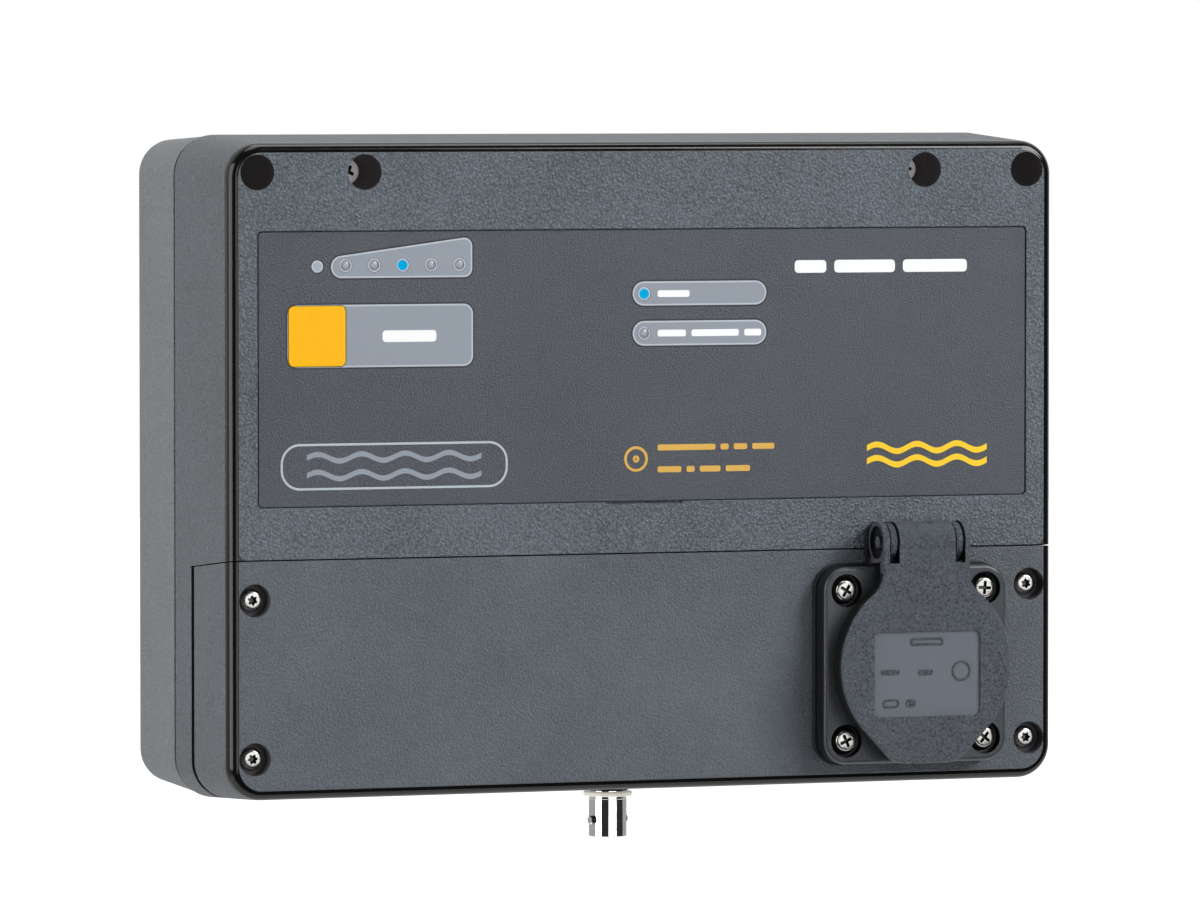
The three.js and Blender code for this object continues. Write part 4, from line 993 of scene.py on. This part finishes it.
def make_socket_housing():
    outline = rounded_about(SOCKET_X, SOCKET_Z, FLANGE_HALF, FLANGE_HALF, FLANGE_RADIUS, 12)
    body = fuse(pillow("flange", outline, FLANGE_FRONT, FLANGE_REAR, rounding(1.1)),
                drill(COLLAR_RADIUS, SOCKET_X, SOCKET_Z, COLLAR_FRONT, FLANGE_FRONT + 0.5, 96),
                drill(SOCKET_BODY, SOCKET_X, SOCKET_Z, FLANGE_REAR - 0.5, SOCKET_REAR, 96))
    carve(body, drill(RECESS_RADIUS, SOCKET_X, SOCKET_Z, COLLAR_FRONT - 1, SOCKET_REAR - 2, 96))
    plate = PIVOT_Y + BARREL + 0.7
    rib_half = 2.6
    ribs, ears = [], []
    for side in (-1, 1):
        ends = sorted(SOCKET_X + side * (RECESS_RADIUS + reach) for reach in (0.5, -2.2))
        ribs.append(block(*ends, COLLAR_FRONT + 1.5, RECESS_FLOOR - GAP,
                          SOCKET_Z - rib_half, SOCKET_Z + rib_half))
        x0 = SOCKET_X + side * EAR_X - EAR_THICK / 2
        ears.append(block(x0, x0 + EAR_THICK, PIVOT_Y, plate + 0.2, PIVOT_Z - EAR_RADIUS + 0.2,
                          PIVOT_Z + EAR_RADIUS - 0.2))
        ears.append(rod(EAR_RADIUS, x0, x0 + EAR_THICK, "x", (0, PIVOT_Y, PIVOT_Z), 64))
    bracket = prism("bracket", rounded(SOCKET_X - LID_NECK, SOCKET_X + LID_NECK,
                                       SOCKET_Z + FLANGE_HALF - 0.5, PIVOT_Z + BARREL - 0.4, 0.4,
                                       top=3.0), plate, FLANGE_REAR)
    body = fuse(body, bracket, *ribs, *ears)
    wire_ways = [(x, SOCKET_Z) for x in (SOCKET_X, *PIN_X)]
    carve(body, *drills(4.2, SOCKET_SCREWS, FLANGE_FRONT - 4, FLANGE_FRONT + 2.4),
          *drills(2.1, SOCKET_SCREWS, FLANGE_FRONT, FLANGE_REAR + 1, 24),
          *drills(2.0, wire_ways, SOCKET_REAR - 3, SOCKET_REAR + 1, 24),
          about_pin(PIN_HOLE, -15, 15, 32))

    def flange_face(centre, normal):
        return FLANGE_FRONT - 0.05 < centre.y < FLANGE_FRONT + 1.0 and normal.y < -0.3

    # The hinge ears get the lighter lid colour as painted highlight between the dark slot lines.
    def ear_painted_highlight(centre, normal):
        return centre.z > PIVOT_Z - EAR_RADIUS and centre.y < PIVOT_Y + 2

    paint(body, "black", ("flange", flange_face), ("lid", ear_painted_highlight))
    fit(smooth(body), "socket_moulding", "black_plastic", "socket_housing")


def make_contact_insert():
    insert = drill(RECESS_RADIUS - 0.4, SOCKET_X, SOCKET_Z, RECESS_FLOOR, INSERT_REAR, 96)
    through = (RECESS_FLOOR - 1, INSERT_REAR + 1)
    clip_ways = [block(SOCKET_X - 2.6, SOCKET_X + 2.6, *through,
                       *sorted(SOCKET_Z + side * reach for reach in (17.4, 21)))
                 for side in (-1, 1)]
    carve(insert, *drills(2.9, [(x, SOCKET_Z) for x in PIN_X], *through, 40), *clip_ways)
    paint(insert, "black")
    fit(soften(insert, 0.3), "contact_insert_disc", "black_plastic",
               "contact_insert")


make_socket_gasket()
make_socket_housing()
make_contact_insert()


# ---------- lid ----------

def lid_outline():
    """Anticlockwise from the foot: a disc with a neck above and straight sides to a rounded foot."""
    fillet_z = math.sqrt((LID_RADIUS + LID_FILLET) ** 2 - (LID_NECK + LID_FILLET) ** 2)
    flare = math.degrees(math.atan2(fillet_z, LID_NECK + LID_FILLET))
    reach = math.hypot(LID_FOOT, LID_DROP)
    tangent = (math.degrees(math.atan2(-LID_DROP, LID_FOOT))
               + math.degrees(math.acos(LID_RADIUS / reach)))
    bend = LID_FOOT_RADIUS
    foot_x = LID_FOOT - bend * math.tan(math.radians(90 + tangent) / 2)
    right = arc(foot_x, bend - LID_DROP, bend, -90, tangent, 8)
    right += arc(0, 0, LID_RADIUS, tangent, flare, 44)
    right += arc(LID_NECK + LID_FILLET, fillet_z, LID_FILLET, flare + 180, 180, 12)[1:]
    right.append((LID_NECK, PIVOT_Z - SOCKET_Z))
    left = [(-x, z) for x, z in right[::-1]]
    return [(SOCKET_X + x, SOCKET_Z + z) for x, z in right + left]


LID_EDGE = [(0, 1.12), (0.05, 0.88), (0.18, 0.66), (0.42, 0.48), (0.85, 0.35), (1.6, 0.25),
            (2.6, 0.15), (3.8, 0.06), (5.2, 0)]
LABEL = {"half_x": 14.5, "low": SOCKET_Z - 12.7, "high": SOCKET_Z + 8.9, "depth": 0.6}


def make_lid():
    lid = pillow("lid", lid_outline(), LID_FRONT, LID_FRONT + LID_THICK, LID_EDGE)
    lid = fuse(lid, about_pin(BARREL, -LID_NECK, LID_NECK))
    slots = [block(SOCKET_X + side * EAR_X - EAR_SLOT / 2, SOCKET_X + side * EAR_X + EAR_SLOT / 2,
                   LID_FRONT - 1, -70, PIVOT_Z - BARREL, PIVOT_Z + 10) for side in (-1, 1)]
    spring_room = fuse(about_pin(4, -4.5, 4.5), block(SOCKET_X - 4.5, SOCKET_X + 4.5, PIVOT_Y,
                                                          PIVOT_Y + 10, PIVOT_Z - 4, PIVOT_Z + 4))
    label = prism("label", rounded(SOCKET_X - LABEL["half_x"], SOCKET_X + LABEL["half_x"],
                                   LABEL["low"], LABEL["high"], 1.6), LID_FRONT - 1,
                  LID_FRONT + LABEL["depth"])
    nick = block(SOCKET_X - 0.2, SOCKET_X + 2.6, LID_FRONT - 1, PIVOT_Y - 1.2,
                 PIVOT_Z + BARREL - 0.55, PIVOT_Z + BARREL + 1)
    cheeks = [about_pin(BARREL - 1.0, *sorted(side * x for x in (LID_NECK - 0.9, 14)))
              for side in (-1, 1)]
    carve(lid, *slots, *cheeks, spring_room)
    carve(lid, label, nick, about_pin(PIN_HOLE, -20, 20, 32))

    def label_floor(centre, normal):
        return abs(centre.y - LID_FRONT - LABEL["depth"]) < 0.05 and normal.y < -0.9

    # The recessed pin end on each cheek is coloured black as painted shade.
    def cheek_painted_shade(centre, normal):
        return (LID_NECK - 1 < abs(centre.x - SOCKET_X) < LID_NECK - 0.1
                and math.hypot(centre.y - PIVOT_Y, centre.z - PIVOT_Z) < BARREL - 0.9)

    # The lid's side wall is coloured near black as painted shade.
    def wall(centre, normal):
        return (abs(normal.y) < 0.4 and centre.y > LID_FRONT + 1.1
                and math.hypot(centre.x - SOCKET_X, centre.z - SOCKET_Z) > LID_RADIUS - 1
                and centre.z < PIVOT_Z - BARREL)

    # The walls of the ear slots are coloured near black as painted shade.
    def slot_wall_painted_shade(centre, normal):
        return (abs(normal.x) > 0.9 and centre.z > PIVOT_Z - BARREL
                and abs(abs(centre.x - SOCKET_X) - EAR_X) < EAR_SLOT / 2 + 0.15)

    # Painted shade: the cheek recesses, the lid's side wall and the slot walls are coloured near
    # black.
    paint(lid, "lid", ("label", label_floor), ("black", cheek_painted_shade), ("rubber", wall),
          ("rubber", slot_wall_painted_shade))
    fit(smooth(lid), "socket_lid_moulding", "lid_plastic", "socket_lid", body="lid")


def lid_mark(name, outline, holes=()):
    """A plain raised mark on the lid's label."""
    floor = LID_FRONT + LABEL["depth"]
    mark = prism(name, outline, floor - 0.22, floor - 0.003)
    if holes:
        carve(mark, *holes)
    paint(mark, "lid")
    fit(soften(mark, 0.06, 2), name, "lid_plastic", body="lid")


def make_lid_marks():
    floor_cut = lambda outline: prism("cut", outline, LID_FRONT - 1, LID_FRONT + 1)
    bar = lambda x, z, w, h: rounded_about(SOCKET_X + x, SOCKET_Z + z, w / 2, h / 2, h * 0.35, 4)
    lid_mark("lid_mark_top", bar(0, 6.2, 9.0, 2.0), [floor_cut(bar(0, 6.2, 7.8, 0.8))])
    lid_mark("lid_mark_left", bar(-10.0, -1.4, 5.0, 1.3))
    lid_mark("lid_mark_middle", bar(-0.4, -1.6, 3.8, 1.3))
    hub = (SOCKET_X + 9.4, SOCKET_Z - 1.4)
    lid_mark("lid_mark_ring", circle(*hub, 2.6, 40), [floor_cut(circle(*hub, 2.1, 40))])
    lid_mark("lid_mark_oval", bar(-9.8, -9.3, 4.4, 2.2), [floor_cut(bar(-9.8, -9.3, 3.4, 1.2))])
    lid_mark("lid_mark_small", bar(-4.4, -9.3, 2.6, 2.0))


make_lid()
make_lid_marks()


# ---------- probe jack ----------

LUG_TURN = math.radians(17)       # the bayonet lugs are turned this far round the jack
WASHER_RAISE = 0.35


def make_jack():
    centre = (JACK_X, JACK_Y, 0)
    end = JACK_END + 0.2
    profile = [(4.05, end + 0.25), (4.25, end), (4.65, end), (4.8, end + 0.15), (4.8, -86.0),
               (4.95, -85.8), (4.7, -85.8), (4.7, -70.2), (4.5, -70), (3.6, -70), (3.6, -87.5),
               (4.05, -87.5), (4.05, end + 0.25)]
    body = lathe("jack", profile, "z", centre, 96)
    paint(body, "nickel")
    fit(smooth(body), "jack_barrel", "nickel_plate", "bnc_body")
    axis = Matrix.Translation(Vector(centre) * MM)
    turn = axis @ Matrix.Rotation(LUG_TURN, 4, "Z") @ axis.inverted()
    for side, label in ((-1, "left"), (1, "right")):
        stub = [(0, 4.4), (1.1, 4.4), (1.1, 5.6), (0.9, 5.8), (0, 5.8)]
        lug = lathe("lug", [(radius, side * reach) for radius, reach in stub], "x",
                    (JACK_X, JACK_Y, -91.2), 32)
        lug.data.transform(turn)
        # The lug's side wall gets painted shade, a dark outline round its head.
        paint(lug, "nickel", ("recess", lambda at, normal: abs(normal.x) < 0.5))
        fit(smooth(lug), "jack_lug_" + label, "nickel_plate")
    raised = Vector((0, 0, WASHER_RAISE))
    low, high = lowest("bnc_washer") + raised, highest("bnc_washer") + raised
    washer = lathe("washer", [(5, low.z), (6, low.z), (6.2, low.z + 0.2), (6.2, high.z - 0.2),
                              (6, high.z), (5, high.z), (5, low.z)], "z", centre, 72)
    # The washer glows as painted light, against the shade under the case.
    paint(washer, "washer")
    fit(smooth(washer), "jack_washer", "cream_plastic", "bnc_washer")
    low, high = lowest("bnc_seal") + raised, highest("bnc_seal")
    seal = lathe("seal", [(4.8, low.z), (5.1, low.z), (5.25, (low.z + high.z) / 2), (5.1, high.z),
                          (4.8, high.z), (4.8, low.z)], "z", centre, 64)
    paint(seal, "rubber")
    fit(smooth(seal), "jack_seal", "black_rubber", "bnc_seal")


make_jack()


# ---------- pieces that keep their CAD shape ----------

CARRIED = {
    "rubber": ["shell_gasket", "cover_gasket", "lid_seal", "mains_grommet", "probe_lead"],
    "board": ["display_board", "main_board"],
    "black": ["mode_switch", "switch_plunger", "relay", "fuse_holder"],
    "steel": ["transformer_core", "lid_spring", "board_screw_1", "board_screw_2"],
    "coil": ["transformer_coil"],
    "green": ["terminal_block"],
    "sleeve": ["capacitor"],
    "ribbon": ["ribbon_cable"],
    "brown": ["line_lead"],
    "blue": ["neutral_lead"],
    "earth": ["earth_lead"],
    "nickel": ["contact_sleeve_1", "contact_sleeve_2", "earth_clip", "lid_pin", "bnc_nut", "fuse"],
    "cream": ["bnc_insulator"],
    "brass": ["bnc_contact"],
}
for finish, names in CARRIED.items():
    for name in names:
        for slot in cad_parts[name].material_slots:
            slot.material = FINISH[finish]


# ---------- stage ----------

# Name: place, aim, size in metres, and power in watts.
LIGHTS = {
    "key": ((1.15, -1.25, 1.05), (0, -0.07, 0), (1.0, 1.0), 37),
    "front": ((0.5, -2.8, 0.05), (0, -0.07, 0), (2.6, 1.2), 20),
    "left": ((-1.65, -0.35, 0.3), (0, -0.04, 0), (1.25, 1.4), 20),
    "top": ((0.1, -0.1, 1.7), (0, -0.04, 0), (1.6, 0.8), 13),
}
FLOOR_GLOW = 0.8                  # lifts the floor to the white of the surroundings for the camera


def area_light(name, place, aim, size, power):
    light = add(name, bpy.data.lights.new(name, "AREA"))
    light.data.shape = "RECTANGLE"
    light.data.size, light.data.size_y = size
    light.data.energy = power
    light.location = place
    direction = Vector(aim) - Vector(place)
    light.rotation_euler = direction.to_track_quat("-Z", "Y").to_euler()


def make_world():
    """White all round for the camera; for lighting, bright behind the object and dim before it."""
    world = bpy.data.worlds.new("studio")
    world.use_nodes = True
    tree = world.node_tree
    ray = node(tree, "ShaderNodeTexCoord").outputs["Generated"]
    direction = node(tree, "ShaderNodeSeparateXYZ", {0: ray})
    glow = spread(tree, direction.outputs["Y"], 0.03, 0.85, -0.15, 0.25)
    seen = node(tree, "ShaderNodeLightPath").outputs["Is Camera Ray"]
    feed(tree, tree.nodes["Background"], {"Color": (1, 1, 1, 1),
                                          "Strength": maths(tree, "MAXIMUM", glow, seen)})
    bpy.context.scene.world = world


def make_stage():
    reach, front, drop = 14.0, -0.6, -0.75
    corners = [(-reach, front, drop), (reach, front, drop), (reach, reach, drop),
               (-reach, reach, drop)]
    mesh = bpy.data.meshes.new("floor")
    mesh.from_pydata(corners, [], [(0, 1, 2, 3)])
    floor = add("floor", mesh)
    paper = surface("studio floor", (245.8, 245.8, 245.8), 0.9, grain=8, bump=0.02,
                    variation=0.005, mottle=0.005, glow=(255, 255, 255))
    tree = paper.node_tree
    seen = node(tree, "ShaderNodeLightPath").outputs["Is Camera Ray"]
    feed(tree, tree.nodes["Principled BSDF"],
         {"Emission Strength": maths(tree, "MULTIPLY", seen, FLOOR_GLOW)})
    mesh.materials.append(paper)
    for name, settings in LIGHTS.items():
        area_light(name, *settings)
    make_world()
    bpy.context.scene.view_settings.view_transform = "Standard"


make_stage()
